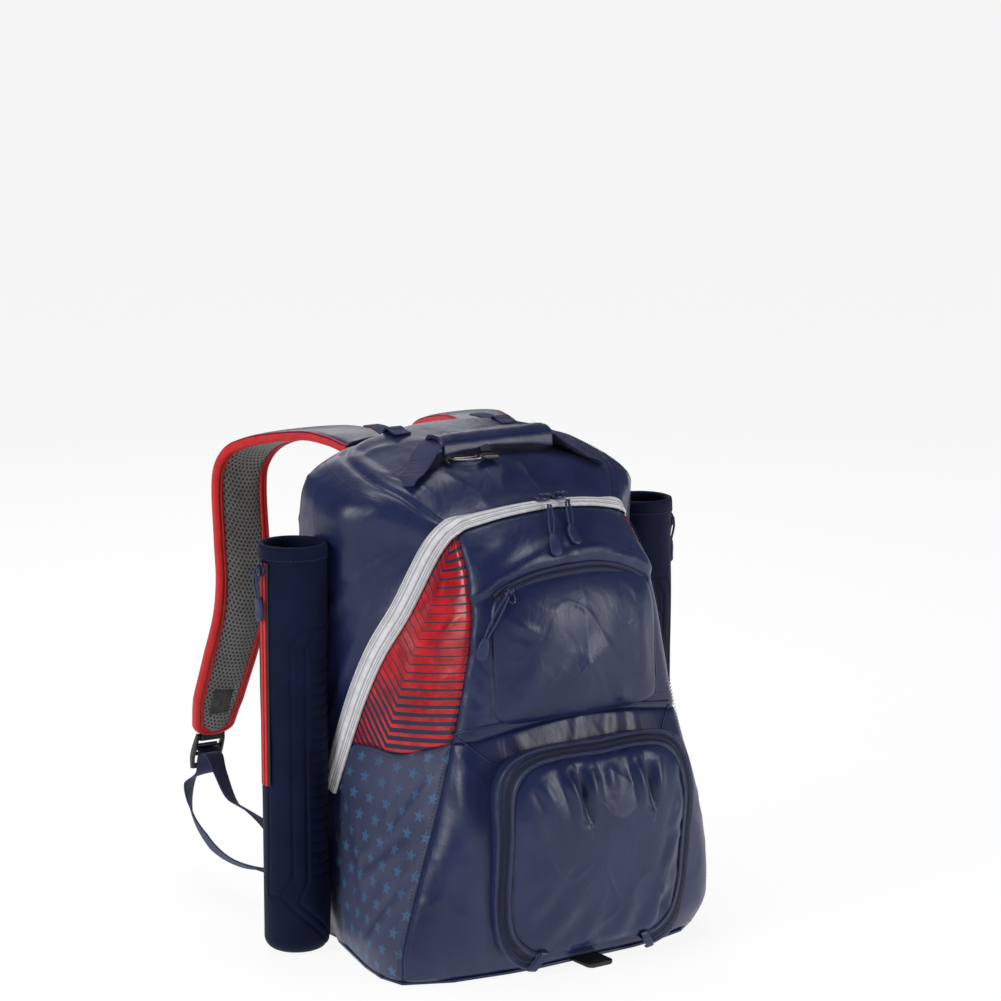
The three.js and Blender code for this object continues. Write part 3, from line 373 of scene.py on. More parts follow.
def rounded(width, thickness, steps=6, round_to=None):
    """An outline with round corners, turning left."""
    r = min(width, thickness) / 2 if round_to is None else round_to
    w, t = width / 2 - r, thickness / 2 - r
    out = []
    for cx, cy, start in ((w, t, 0), (-w, t, 90), (-w, -t, 180), (w, -t, 270)):
        for k in range(steps + 1):
            angle = math.radians(start + 90 * k / steps)
            out.append((cx + r * math.cos(angle), cy + r * math.sin(angle)))
    return np.array(out)


def smooth_line(points, count, closed=False):
    """Evenly spaced points on a smooth curve through the given ones."""
    points = np.asarray(points, float)
    if closed:
        points = np.concatenate([points[-2:], points, points[:3]])
    places = np.concatenate([[0], np.cumsum(np.linalg.norm(np.diff(points, axis=0), axis=-1) ** 0.5)])
    first, last = (places[2], places[-3]) if closed else (places[0], places[-1])
    fine = np.linspace(first, last, count * 8)
    line = np.stack([hermite(places, points[:, c], fine) for c in range(points.shape[1])], -1)
    run = np.concatenate([[0], np.cumsum(np.linalg.norm(np.diff(line, axis=0), axis=-1))])
    even = np.linspace(0, run[-1], count + 1)[:-1] if closed else np.linspace(0, run[-1], count)
    return np.stack([np.interp(even, run, line[:, c]) for c in range(points.shape[1])], -1)


def join(name, pieces, replaced=()):
    """One piece from several, keeping their finishes."""
    with bpy.context.temp_override(active_object=pieces[0], selected_editable_objects=pieces,
                                   selected_objects=pieces, object=pieces[0]):
        bpy.ops.object.join()
    pieces[0].name = name
    return place(pieces[0], replaced)


def baked(piece):
    """The piece with its modifiers made part of its mesh."""
    shown = piece.evaluated_get(bpy.context.evaluated_depsgraph_get())
    mesh = bpy.data.meshes.new_from_object(shown)
    old = piece.data
    piece.modifiers.clear()
    piece.data = mesh
    bpy.data.meshes.remove(old)
    return piece


# Node trees
class Signal:
    """A socket of a node tree that takes part in plain arithmetic."""

    def __init__(self, works, node, socket):
        self.works, self.node, self.socket = works, node, socket

    def __getitem__(self, name):
        return Signal(self.works, self.node, self.node.outputs[name])

    def maths(self, operation, *terms):
        return self.works.add("ShaderNodeMath", {"operation": operation}, dict(enumerate(terms)))

    def __add__(self, other):
        return self.maths("ADD", self, other)

    def __radd__(self, other):
        return self.maths("ADD", other, self)

    def __sub__(self, other):
        return self.maths("SUBTRACT", self, other)

    def __rsub__(self, other):
        return self.maths("SUBTRACT", other, self)

    def __mul__(self, other):
        return self.maths("MULTIPLY", self, other)

    def __rmul__(self, other):
        return self.maths("MULTIPLY", other, self)

    def __truediv__(self, other):
        return self.maths("DIVIDE", self, other)

    def __rtruediv__(self, other):
        return self.maths("DIVIDE", other, self)

    def __neg__(self):
        return self.maths("MULTIPLY", self, -1.0)

    def __pow__(self, other):
        return self.maths("POWER", self, other)

    def __gt__(self, other):
        return self.maths("GREATER_THAN", self, other)

    def __lt__(self, other):
        return self.maths("LESS_THAN", self, other)

    def sin(self):
        return self.maths("SINE", self)

    def abs(self):
        return self.maths("ABSOLUTE", self)

    def floor(self):
        return self.maths("FLOOR", self)

    def part(self):
        return self.maths("FRACT", self)

    def most(self, other):
        return self.maths("MAXIMUM", self, other)

    def ease(self, low, high):
        """0 below low, 1 above high, smooth between them."""
        return self.works.add("ShaderNodeMapRange", {"interpolation_type": "SMOOTHSTEP"},
                              {"Value": self, "From Min": low, "From Max": high})


class Works:
    """A node tree while it is made."""

    def __init__(self, tree):
        self.tree = tree

    def add(self, kind, settings=None, sockets=None, out=0):
        node = self.tree.nodes.new(kind)
        for key, value in (settings or {}).items():
            if key == "stops":
                ramp = node.color_ramp.elements
                while len(ramp) < len(value):
                    ramp.new(0.5)
                for stop, (at, colour) in zip(ramp, value):
                    stop.position, stop.color = at, (*colour, 1)
            else:
                setattr(node, key, value)
        for key, value in (sockets or {}).items():
            if isinstance(value, Signal):
                self.tree.links.new(value.socket, node.inputs[key])
            else:
                node.inputs[key].default_value = value
        return Signal(self, node, node.outputs[out] if len(node.outputs) else None)


class Finish(Works):
    """A material while it is made: its own coordinates, mixes, bumps and surface."""

    def __init__(self, name):
        self.material = bpy.data.materials.new(name)
        self.material.use_nodes = True
        super().__init__(self.material.node_tree)
        self.tree.nodes.clear()
        self.spot = self.add("ShaderNodeTexCoord")["Object"]

    def cloth(self):
        """Lengths in metres across and along the cloth."""
        uv = self.add("ShaderNodeUVMap", {"uv_map": "cloth"})
        both = self.add("ShaderNodeSeparateXYZ", None, {0: uv})
        return both["X"], both["Y"]

    def noise(self, scale, detail=2.0, roughness=0.5, at=None, out=0, distortion=0.0):
        return self.add("ShaderNodeTexNoise", None, {"Vector": at or self.spot, "Scale": scale, "Detail": detail,
                                                     "Roughness": roughness, "Distortion": distortion}, out)

    def stretched(self, x, y, z):
        return self.add("ShaderNodeMapping", None, {"Vector": self.spot, "Scale": (x, y, z)})

    def mix(self, share, first, second):
        ends = {0: share}
        for key, value in ((6, first), (7, second)):
            ends[key] = value if isinstance(value, Signal) else (*value, 1)
        return self.add("ShaderNodeMix", {"data_type": "RGBA"}, ends, out=2)

    def blend(self, share, first, second):
        return self.add("ShaderNodeMix", {"data_type": "FLOAT"}, {0: share, 2: first, 3: second})

    def bump(self, height, distance, strength=1.0, under=None):
        """Raises the surface by height times a distance in millimetres."""
        sockets = {"Height": height, "Distance": distance * MM, "Strength": strength}
        if under is not None:
            sockets["Normal"] = under
        return self.add("ShaderNodeBump", None, sockets)

    def done(self, colour, roughness, normal=None, **fixed):
        sockets = {"Base Color": colour if isinstance(colour, Signal) else (*colour, 1), "Roughness": roughness}
        if normal is not None:
            sockets["Normal"] = normal
        sockets.update({key.replace("_", " "): value for key, value in fixed.items()})
        surface = self.add("ShaderNodeBsdfPrincipled", None, sockets)
        self.add("ShaderNodeOutputMaterial", None, {"Surface": surface})
        return self.material


# Finishes
def coated_cloth(name, base, glow, extra=None, roughness=0.35):
    """Coated nylon: a soft even sheen, fine bumpy noise and small creases that catch the light."""
    f = Finish(name)
    cloud = f.noise(14.0, 3.0)
    fine = f.noise(70.0, 4.0, 0.6)
    colour = f.mix(cloud.ease(0.35, 0.7), base, glow)
    crease = 1.0 - (f.noise(38.0, 3.0, 0.55, f.stretched(1.0, 1.0, 0.6), distortion=0.6) - 0.5).abs() * 6.0
    if extra is not None:
        colour = extra(f, colour)
    height = crease.most(0.0) * 0.3 + fine * 0.4
    wear = f.noise(210.0, 2.0)
    return f.done(colour, roughness + (wear - 0.5) * 0.12 + (cloud - 0.5) * 0.08,
                  f.bump(height, 0.9, 0.5), Sheen_Weight=0.03, Sheen_Roughness=0.4,
                  Specular_IOR_Level=0.4)


NAVY = (0.009, 0.016, 0.066)
NAVY_LIGHT = (0.017, 0.027, 0.090)
navy_cloth = coated_cloth("navy coated cloth", NAVY, NAVY_LIGHT)


def star_print(f, colour):
    """Rows of small five-pointed stars, offset from row to row, fading in random patches."""
    across, along = f.cloth()
    pitch, row_pitch, reach = 0.0235, 0.0185, 0.0070
    v = along / row_pitch
    row = v.floor()
    u = across / pitch + (row * 0.5).part()
    x = (u.part() - 0.5) * pitch
    y = (v.part() - 0.5) * row_pitch
    angle = f.add("ShaderNodeMath", {"operation": "ARCTAN2"}, {0: x, 1: y})
    fifth = TAU / 5
    leaf = ((angle / fifth + 0.5).part() - 0.5).abs() * fifth
    radius = (x * x + y * y) ** 0.5
    inner = 0.42
    edge = np.array([reach * inner * math.cos(fifth / 2) - reach, reach * inner * math.sin(fifth / 2)])
    square = np.array([edge[1], -edge[0]]) / np.linalg.norm(edge)
    side = (leaf + math.pi / 2).sin() * radius * float(square[0]) + leaf.sin() * radius * float(square[1])
    star = 1.0 - (side - float(square[0]) * reach).ease(-0.0003, 0.0003)
    fade = f.noise(30.0, 2.0).ease(0.25, 0.6) * 0.5 + 0.5
    return f.mix(star * fade * 0.75, colour, (0.045, 0.13, 0.26))


star_cloth = coated_cloth("navy cloth with pale stars", (0.03, 0.038, 0.09), (0.048, 0.058, 0.12),
                          extra=star_print, roughness=0.5)


def chevron_print():
    f = Finish("red chevrons on navy")
    share, rise = f.cloth()
    high_up = (rise - 0.225) / 0.185
    slant = 0.145 - high_up * 0.08
    stripe = rise + share * 0.01 - (share - 0.66).most(0.0) * slant
    wave = (stripe / 0.0079).part()
    low = 1.0 - high_up.ease(0.0, 0.42)
    high = high_up.ease(0.62, 0.92)
    navy_share = 0.16 + low * 0.4 + high * 0.28
    distance = (wave - 0.5).abs() * 2.0
    red = (distance - navy_share).ease(-0.05, 0.05)
    # Painted sheen: the red is lighter where a random noise is high, so patches of gloss are painted into the colour.
    painted_sheen_noise = f.noise(55.0, 3.0, 0.6)
    red_with_painted_sheen = f.mix(painted_sheen_noise.ease(0.3, 0.75), (0.30, 0.001, 0.006), (0.62, 0.008, 0.014))
    colour = f.mix(red, (0.012, 0.016, 0.05), red_with_painted_sheen)
    crease = 1.0 - (f.noise(60.0, 3.0, 0.55) - 0.5).abs() * 6.0
    relief = red * 0.5 + crease.most(0.0) * 0.25 + f.noise(140.0, 3.0) * 0.4
    return f.done(colour, f.blend(red, 0.5, 0.27), f.bump(relief, 0.35, 0.7), Coat_Weight=red * 0.25,
                  Coat_Roughness=0.2, Specular_IOR_Level=0.35)


chevron_cloth = chevron_print()


def ribbed(name, base, glow, pitch=0.0016, roughness=0.7, depth=0.35, sheen=0.05, cross=0.0011):
    """Woven tape: ribs along it and fine picks across it, from the cloth's own lengths."""
    f = Finish(name)
    across, along = f.cloth()
    ribs = (across * (TAU / pitch)).sin()
    picks = (along * (TAU / cross)).sin()
    shade = f.noise(90.0, 3.0)
    # The colour is partly a random cloud of tone and partly painted shade: it follows the ribs of the bump, lighter
    # on their crests and darker in the grooves.
    colour = f.mix((ribs * 0.25 + shade).ease(0.2, 0.9), base, glow)
    return f.done(colour, roughness + (shade - 0.5) * 0.15, f.bump(ribs * 0.6 + picks * 0.35 + shade * 0.5,
                                                                  depth, 0.7),
                  Sheen_Weight=sheen, Sheen_Roughness=0.5)


webbing_cloth = ribbed("navy webbing", (0.010, 0.015, 0.062), (0.026, 0.035, 0.12))
def lined_tape():
    """White zip tape: fine grey lines run along it beside the coil and near both edges."""
    f = Finish("white zip tape")
    along, across = f.cloth()
    shade = f.noise(120.0, 3.0)
    line = None
    for at, width in ((0.0034, 0.0003), (0.0052, 0.0003), (0.0084, 0.0005), (0.0152, 0.0005), (0.0184, 0.0003),
                      (0.0202, 0.0003)):
        mark = 1.0 - (across - at).abs().ease(width, width * 2.2)
        line = mark if line is None else line.most(mark)
    picks = (along * (TAU / 0.0011)).sin()
    colour = f.mix(line * 0.75, f.mix(shade.ease(0.3, 0.7), (0.70, 0.70, 0.74), (0.84, 0.84, 0.87)),
                   (0.30, 0.30, 0.34))
    return f.done(colour, 0.6, f.bump(picks * 0.3 + shade * 0.5 - line, 0.35, 0.7))


white_tape = lined_tape()
dark_tape = ribbed("navy zip tape", (0.006, 0.010, 0.042), (0.013, 0.02, 0.075), 0.0012, 0.6, 0.2, 0.02)
red_binding = ribbed("red binding", (0.56, 0.002, 0.005), (0.88, 0.010, 0.014), 0.0013, 0.5, 0.25, 0.02)
black_webbing = ribbed("black webbing", (0.006, 0.006, 0.008), (0.02, 0.02, 0.024))
patch_cloth = ribbed("dark grey patch", (0.045, 0.045, 0.047), (0.11, 0.11, 0.112), 0.0026, 0.85, 0.5, 0.1, 0.0026)
black_tape = ribbed("black zip tape", (0.006, 0.006, 0.009), (0.016, 0.016, 0.02), 0.0012, 0.65, 0.15)


def plain(name, base, roughness, metal=0.0, grain=0.25, scale=400.0, **fixed):
    f = Finish(name)
    speckle = f.noise(scale, 3.0)
    cloud = f.noise(45.0, 2.0)
    light = tuple(min(1, c * 1.35 + 0.004) for c in base)
    return f.done(f.mix(cloud.ease(0.3, 0.7), base, light), roughness + (cloud - 0.5) * 0.15,
                  f.bump(speckle, grain, 0.35), Metallic=metal, **fixed)


black_plastic = plain("black plastic", (0.008, 0.008, 0.010), 0.36)
rubber = plain("black rubber", (0.012, 0.012, 0.012), 0.62, grain=0.5)
navy_rubber = plain("navy moulded rubber", (0.010, 0.018, 0.075), 0.5)
navy_metal = plain("navy lacquered metal", (0.016, 0.022, 0.07), 0.3, 0.35, 0.08)
hook_metal = plain("polished dark wire", (0.30, 0.30, 0.31), 0.2, 1.0, 0.05)
coil_navy = plain("navy zip coil", (0.007, 0.012, 0.05), 0.42, grain=0.05)
coil_white = plain("white zip coil", (0.82, 0.82, 0.84), 0.35, grain=0.05)
thread_navy = plain("navy thread", (0.02, 0.027, 0.085), 0.5, grain=0.1)
thread_white = plain("white thread", (0.7, 0.7, 0.74), 0.5, grain=0.1)
thread_black = plain("black thread", (0.008, 0.008, 0.01), 0.5, grain=0.1)
thread_red = plain("red thread", (0.35, 0.006, 0.012), 0.5, grain=0.1)


def air_mesh(name, low, high):
    """Spacer mesh: rows of small round holes, each row offset by half a step, painted near-black as painted shade
    inside them.
    """
    f = Finish(name)
    across, along = f.cloth()
    pitch = 0.0046
    v = along / (pitch * 0.866)
    row = v.floor()
    x = ((across / pitch + (row * 0.5).part()).part() - 0.5) * pitch
    y = (v.part() - 0.5) * (pitch * 0.866)
    radius = (x * x + y * y) ** 0.5
    shaded_hole = 1.0 - radius.ease(0.00085, 0.00150)
    fuzz = f.noise(900.0, 3.0, 0.6)
    cloud = f.noise(30.0, 3.0)
    cloth = f.mix((cloud * 0.6 + fuzz * 0.4).ease(0.3, 0.7), low, high)
    # Painted shade: each hole is coloured near-black for the depth of the hole.
    colour = f.mix(shaded_hole, cloth, (0.012, 0.012, 0.013))
    return f.done(colour, 0.85, f.bump(fuzz * 0.3 - shaded_hole, 0.7, 0.9), Sheen_Weight=0.2)


mesh_cloth = air_mesh("grey spacer mesh", (0.17, 0.165, 0.16), (0.34, 0.33, 0.32))
dark_mesh = air_mesh("dark spacer mesh", (0.03, 0.032, 0.04), (0.075, 0.078, 0.09))


def knit_foam():
    """Smooth knit over foam, with a fine vertical rib."""
    f = Finish("navy knit foam")
    across, along = f.cloth()
    ribs = (across * (TAU / 0.0011)).sin()
    loops = (along * (TAU / 0.0014)).sin()
    cloud = f.noise(22.0, 3.0)
    colour = f.mix(cloud.ease(0.3, 0.75), (0.002, 0.005, 0.023), (0.004, 0.009, 0.038))
    return f.done(colour, 0.62 + (cloud - 0.5) * 0.15, f.bump(ribs * loops * 0.4 + f.noise(260.0, 3.0) * 0.6,
                                                            0.35, 0.6), Sheen_Weight=0.02, Specular_IOR_Level=0.1)


knit_cloth = knit_foam()


# Repeats along lines
def repeat_tree():
    """Sets a rounded item at even steps along every line, turned to the line and to the outside."""
    tree = bpy.data.node_groups.new("items along lines", "GeometryNodeTree")
    face = tree.interface
    face.new_socket("Lines", in_out="INPUT", socket_type="NodeSocketGeometry")
    for name, kind, value in (("Step", "NodeSocketFloat", 0.003), ("Size", "NodeSocketVector", (1, 1, 1)),
                              ("Turn", "NodeSocketFloat", 0.0), ("Unevenness", "NodeSocketFloat", 0.0),
                              ("Seed", "NodeSocketInt", 1), ("Finish", "NodeSocketMaterial", None)):
        socket = face.new_socket(name, in_out="INPUT", socket_type=kind)
        if value is not None:
            socket.default_value = value
    face.new_socket("Items", in_out="OUTPUT", socket_type="NodeSocketGeometry")
    w = Works(tree)
    given = w.add("NodeGroupInput")
    curve = w.add("GeometryNodeMeshToCurve", None, {"Mesh": given["Lines"]})
    points = w.add("GeometryNodeResampleCurve", {"mode": "LENGTH"}, {"Curve": curve, "Length": given["Step"]})
    outside = w.add("GeometryNodeInputNamedAttribute", {"data_type": "FLOAT_VECTOR"}, {"Name": "outside"})
    facing = w.add("FunctionNodeAxesToRotation", {"primary_axis": "Z", "secondary_axis": "X"},
                   {0: outside, 1: w.add("GeometryNodeInputTangent")})
    turn = w.add("FunctionNodeAxisAngleToRotation", None, {"Axis": (0, 0, 1), "Angle": given["Turn"]})
    turned = w.add("FunctionNodeRotateRotation", {"rotation_space": "LOCAL"}, {0: facing, 1: turn})
    item = w.add("GeometryNodeMeshIcoSphere", None, {"Radius": 0.5, "Subdivisions": 1})
    uneven = w.add("FunctionNodeRandomValue", {"data_type": "FLOAT"},
                   {2: 1.0 - given["Unevenness"], 3: 1.0 + given["Unevenness"], 8: given["Seed"]}, out=1)
    size = w.add("ShaderNodeVectorMath", {"operation": "SCALE"}, {0: given["Size"], 3: uneven})
    items = w.add("GeometryNodeInstanceOnPoints", None,
                  {"Points": points, "Instance": item, "Rotation": turned, "Scale": size})
    solid = w.add("GeometryNodeRealizeInstances", None, {"Geometry": items})
    round_ = w.add("GeometryNodeSetShadeSmooth", None, {"Geometry": solid})
    dressed = w.add("GeometryNodeSetMaterial", None, {"Geometry": round_, "Material": given["Finish"]})
    w.add("NodeGroupOutput", None, {0: dressed})
    return tree


REPEATS = repeat_tree()


def repeats(name, lines, step, size, finish, turn=0.0, unevenness=0.06, seed=1):
    """Items along lines. A line is its points and the directions out of the surface there, in millimetres."""
    points, outs, edges = [], [], []
    for line, out in lines:
        start = len(points)
        points += (np.asarray(line) * MM).tolist()
        outs += np.broadcast_to(np.asarray(out, float), np.shape(line)).tolist()
        edges += [(start + k, start + k + 1) for k in range(len(line) - 1)]
    mesh = bpy.data.meshes.new(name)
    mesh.from_pydata(points, edges, [])
    mesh.attributes.new("outside", "FLOAT_VECTOR", "POINT").data.foreach_set("vector", np.array(outs).ravel())
    piece = bpy.data.objects.new(name, mesh)
    bpy.context.scene.collection.objects.link(piece)
    items = piece.modifiers.new("items", "NODES")
    items.node_group = REPEATS
    names = {s.name: s.identifier for s in REPEATS.interface.items_tree if s.in_out == "INPUT"}
    for key, value in (("Step", step * MM), ("Size", [s * MM for s in size]), ("Turn", math.radians(turn)),
                       ("Unevenness", unevenness), ("Seed", seed), ("Finish", finish)):
        items[names[key]] = value
    baked(piece)
    return place(piece)


# Camera, light and floor
def camera():
    data = bpy.data.cameras.new("camera")
    data.lens, data.sensor_width = 118.68, 36.0
    data.clip_start, data.clip_end = 0.1, 120.0
    eye = bpy.data.objects.new("camera", data)
    eye.location = (-1.7901, -2.5423, 1.0003)
    eye.rotation_euler = (math.radians(79.5), 0.0, math.radians(-35.0))
    bpy.context.scene.collection.objects.link(eye)
    bpy.context.scene.camera = eye


def soft_light(name, place_at, aim, size, power, colour=(1, 1, 1)):
    data = bpy.data.lights.new(name, "AREA")
    data.shape, data.size, data.size_y = "RECTANGLE", *size
    data.energy, data.color = power, colour
    lamp = bpy.data.objects.new(name, data)
    lamp.location = place_at
    lamp.rotation_euler = (Vector(aim) - Vector(place_at)).to_track_quat("-Z", "Y").to_euler()
    bpy.context.scene.collection.objects.link(lamp)


camera()
soft_light("large soft light from the left", (-2.6, -0.2, 1.5), (0, 0, 0.2), (0.9, 1.4), 38)
soft_light("soft light from the right front", (1.6, -2.5, 0.85), (0, 0, 0.2), (0.8, 1.3), 30)
soft_light("light from above", (0.1, 0.3, 2.6), (0, 0, 0.3), (1.1, 1.1), 20)
soft_light("light from behind", (0.9, 2.2, 1.6), (0, 0, 0.3), (1.4, 1.0), 12)
world = bpy.data.worlds.new("white room")
world.use_nodes = True
world.node_tree.nodes["Background"].inputs["Color"].default_value = (1, 1, 1, 1)
world.node_tree.nodes["Background"].inputs["Strength"].default_value = 0.07
bpy.context.scene.world = world
bpy.context.scene.view_settings.view_transform = "Standard"
bpy.context.scene.view_settings.look = "None"

floor_finish = Finish("pale floor")
floor_finish.done((0.12, 0.12, 0.12), 0.9, Emission_Color=(1, 1, 1, 1), Emission_Strength=0.9)
floor_mesh = bpy.data.meshes.new("floor")
floor_mesh.from_pydata([(-60, -60, 0), (60, -60, 0), (60, 60, 0), (-60, 60, 0)], [], [(0, 1, 2, 3)])
floor_mesh.materials.append(floor_finish.material)
floor = bpy.data.objects.new("floor", floor_mesh)
bpy.context.scene.collection.objects.link(floor)


# The body's panels
def fade_in(distance, reach):
    return 1 - np.exp(-((distance / reach) ** 2))


def cloth_height(p, seed, amount=1.0, depth=1.3, puff=1.5, edges="lrbt", size=1.0):
    """Height of a sewn panel over its plain form: dips at its edges, a puff and crumples between them."""
    dip, left, low = edge_dip(p, depth, 2.6, edges)
    ways = {"l": left, "r": left[:, -1:] - left, "b": low, "t": low[-1:] - low}
    near = np.min([ways[e] for e in edges], axis=0)
    calm = 0.25 + 0.75 * fade_in(near, 14)
    return dip + puff * fade_in(near, 22) + crumple(p, amount, seed, size) * calm


def panel(name, around, up, finish, slot, replaced, lift=0.0, extra=None, thickness=2.2, **cloth):
    p, out = over_body(around, up), body_out(around, up)
    height = lift + cloth_height(p, **cloth)
    if extra is not None:
        height = height + extra(p, around, up)
    gap = to_arch(p)
    height = np.where(height > 0, height * fade_in(np.maximum(gap - 8, 0), 12), height) \
        - 2.2 * np.exp(-((gap / 9.0) ** 4))
    return thicken(grid_piece(name, p + out * height[..., None], finish, replaced), thickness)


# The plain body and the zip's arch on it
def body_tree():
    """The plain body as a search tree, for settling tapes and stitches on it."""
    rows = np.concatenate([np.linspace(0, 0.9, 110)[:-1], np.linspace(0.9, 1, 40)[:-1],
                           np.linspace(1, 1.99, 40)])
    around = np.linspace(-1, 1, 361)[:-1]
    p = body(*np.meshgrid(around, rows))
    n = len(around)
    faces = [(j * n + i, j * n + (i + 1) % n, (j + 1) * n + (i + 1) % n, (j + 1) * n + i)
             for j in range(len(rows) - 1) for i in range(n)]
    return BVHTree.FromPolygons(p.reshape(-1, 3).tolist(), faces)


BODY = body_tree()


def settled(points, tree=None):
    """The nearest places of a form to some points, and the directions out of it there."""
    points = np.asarray(points, float)
    spots = [(tree or BODY).find_nearest(Vector(q)) for q in points.reshape(-1, 3)]
    found = np.array([spot[0] for spot in spots]).reshape(points.shape)
    out = np.array([spot[1] for spot in spots]).reshape(points.shape)
    return found, out


def calmed(values, turns=4):
    for _ in range(turns):
        inner = (values[:-2] + 2 * values[1:-1] + values[2:]) / 4
        values = np.concatenate([values[:1], inner, values[-1:]])
    return values


def evenly(path, step=2.5):
    run = np.concatenate([[0], np.cumsum(np.linalg.norm(np.diff(path, axis=0), axis=-1))])
    even = np.linspace(0, run[-1], int(run[-1] / step) + 2)
    return np.stack([np.interp(even, run, path[:, c]) for c in range(3)], -1)


ARCH_LINE = [(-172, 52, 156), (-167, 24, 225), (-156, -2, 293), (-137, -20, 338), (-115, -31, 387),
             (-103, -39, 407), (-88, -48, 417), (-66, -55, 423), (-34, -60, 428), (0, -62, 430)]
arch = smooth_line(ARCH_LINE + [(-x, y, z) for x, y, z in ARCH_LINE[-2::-1]], 360)
arch = calmed(settled(arch)[0], 6)


arch_spots = KDTree(len(arch))
for k, spot in enumerate(arch):
    arch_spots.insert(spot, k)
arch_spots.balance()


def to_arch(p):
    """Distance of points to the middle of the main zip."""
    return np.array([arch_spots.find(q)[2] for q in p.reshape(-1, 3)]).reshape(p.shape[:-1])


# The shell
SHELL_FROM = 0.5
half = np.concatenate([np.linspace(0, 0.34, 30), np.linspace(SHELL_FROM, 0.75, 48)[:-1],
                       np.linspace(0.75, 0.87, 14)[:-1], np.linspace(0.87, 1, 14)])
shell_around = np.concatenate([-half[:0:-1], half[:-1]])
shell_rows = np.concatenate([np.linspace(0, 0.88, 118)[:-1], np.linspace(0.88, 1.0, 34)[:-1],
                             1 + np.linspace(0, 1, 38) ** 1.35 * 0.996])
shell_a, shell_u = np.meshgrid(shell_around, shell_rows)

LEFT_FOLDS = [
    {"a0": -0.67, "u0": 0.84, "a1": -0.70, "u1": 0.42, "width": 8, "depth": 2.2},
    {"a0": -0.635, "u0": 0.66, "a1": -0.69, "u1": 0.36, "width": 6, "depth": 2.6},
    {"a0": -0.62, "u0": 0.90, "a1": -0.68, "u1": 0.72, "width": 7, "depth": 1.8},
    {"a0": 0.64, "u0": 0.75, "a1": 0.69, "u1": 0.40, "width": 7, "depth": 2.2},
]


def shell():
    p = body(shell_a, shell_u)
    ridge = np.exp(-(((np.abs(shell_a) - 0.42) / 0.14) ** 4)) * np.clip((shell_u - 0.985) / 0.03, 0, 1)
    for _ in range(14):
        middle = (np.roll(p, 1, 1) + np.roll(p, -1, 1)) / 2
        p += (middle - p) * 0.5 * ridge[..., None]
    near_rim = np.exp(-(((shell_u - 0.97) / 0.06) ** 4)) * np.clip((np.abs(shell_a) - 0.62) / 0.08, 0, 1)
    for _ in range(140):
        middle = (p[:-2] + p[2:]) / 2
        p[1:-1] += (middle - p[1:-1]) * 0.5 * near_rim[1:-1, :, None]
    out = unit(np.cross(np.roll(p, -1, 1) - np.roll(p, 1, 1), np.gradient(p, axis=0)) + 1e-9)
    out[-3:] = (0, 0, 1)
    for _ in range(8):
        out = unit(np.roll(out, 1, 1) + 2 * out + np.roll(out, -1, 1))
    from_zip = to_arch(p)
    wall_step = (shell_u - 1) * np.where(shell_u < 1, 470.0, 130.0)
    seam = -2.2 * np.exp(-((wall_step / 1.7) ** 2)) + 0.5 * np.exp(-(((np.abs(wall_step) - 4.5) / 2.6) ** 2))
    calm = 0.35 + 0.65 * fade_in(wall_step, 12)
    inside = np.abs(shell_a) < arch_around(shell_u) - 0.004
    sunk = np.where(inside & (shell_u < ZIP_TOP), -3.0, 0)
    behind = 1 - 0.75 * np.clip((np.abs(shell_a) - 0.8) / 0.06, 0, 1)
    height = seam + sunk + crumple(p, 1.2, 3) * calm * behind
    for row in LEFT_FOLDS:
        ends = [body(np.array([row[f"a{k}"]]), np.array([row[f"u{k}"]]))[0] for k in (0, 1)]
        height = height + stroke(p, ends[0], ends[1], row["width"], row["depth"]) * calm
    height = height * (1 - fade_in(np.maximum(shell_u - 1.9, 0), 0.04))
    height = np.where(height > 0, height * fade_in(np.maximum(from_zip - 9, 0), 14), height)
    p = p + out * height[..., None]
    keep = np.ones((len(shell_rows) - 1, len(shell_around)), bool)
    middles = np.abs(shell_around)[None, :] + 0 * shell_rows[:-1, None]
    keep[(middles < SHELL_FROM - 0.02) & (shell_rows[:-1, None] < 0.90)] = False
    pole = p[-1].mean(0)
    p = np.concatenate([p[:-1], np.broadcast_to(pole, p[-1:].shape)])
    piece = grid_piece("main_shell_cloth", p, navy_cloth, "main_shell", round_way=True,
                       keep=keep)
    merge(piece, 0.01)
    thicken(piece, WALL)


def merge(piece, distance):
    work = bmesh.new()
    work.from_mesh(piece.data)
    bmesh.ops.remove_doubles(work, verts=work.verts, dist=distance * MM)
    work.to_mesh(piece.data)
    work.free()


shell()


# The printed gussets inside the arch, from the front edge to the zip
def gusset_grid(rows=64, columns=34):
    share, rise = np.meshgrid(np.linspace(0, 1, columns), np.linspace(0, 1, rows))
    top = arch_up(EDGE_AROUND) - 0.026
    reach = np.maximum(arch_around(0.45 + rise * (top - 0.45)), EDGE_AROUND + 0.012)
    around = EDGE_AROUND + (reach - EDGE_AROUND) * share
    low = seam_up(around)
    return around, low + rise * (top - low)


gusset_a, gusset_u = gusset_grid()
for side, sign in (("left", -1), ("right", 1)):
    around = -gusset_a[:, ::-1] if sign < 0 else gusset_a
    up = gusset_u[:, ::-1] if sign < 0 else gusset_u
    gusset = panel(f"gusset_{side}_print", around, up, chevron_cloth, "chevron_print", f"gusset_{side}",
                   seed=7 + sign, amount=0.6, puff=1.0, edges="lrb", size=0.8)
    columns = around.shape[1]
    for loop, spot in zip(gusset.data.loops, gusset.data.uv_layers["cloth"].data):
        column = loop.vertex_index % around.size % columns / (columns - 1)
        spot.uv = (1 - column if sign < 0 else column, gusset.data.vertices[loop.vertex_index].co.z)

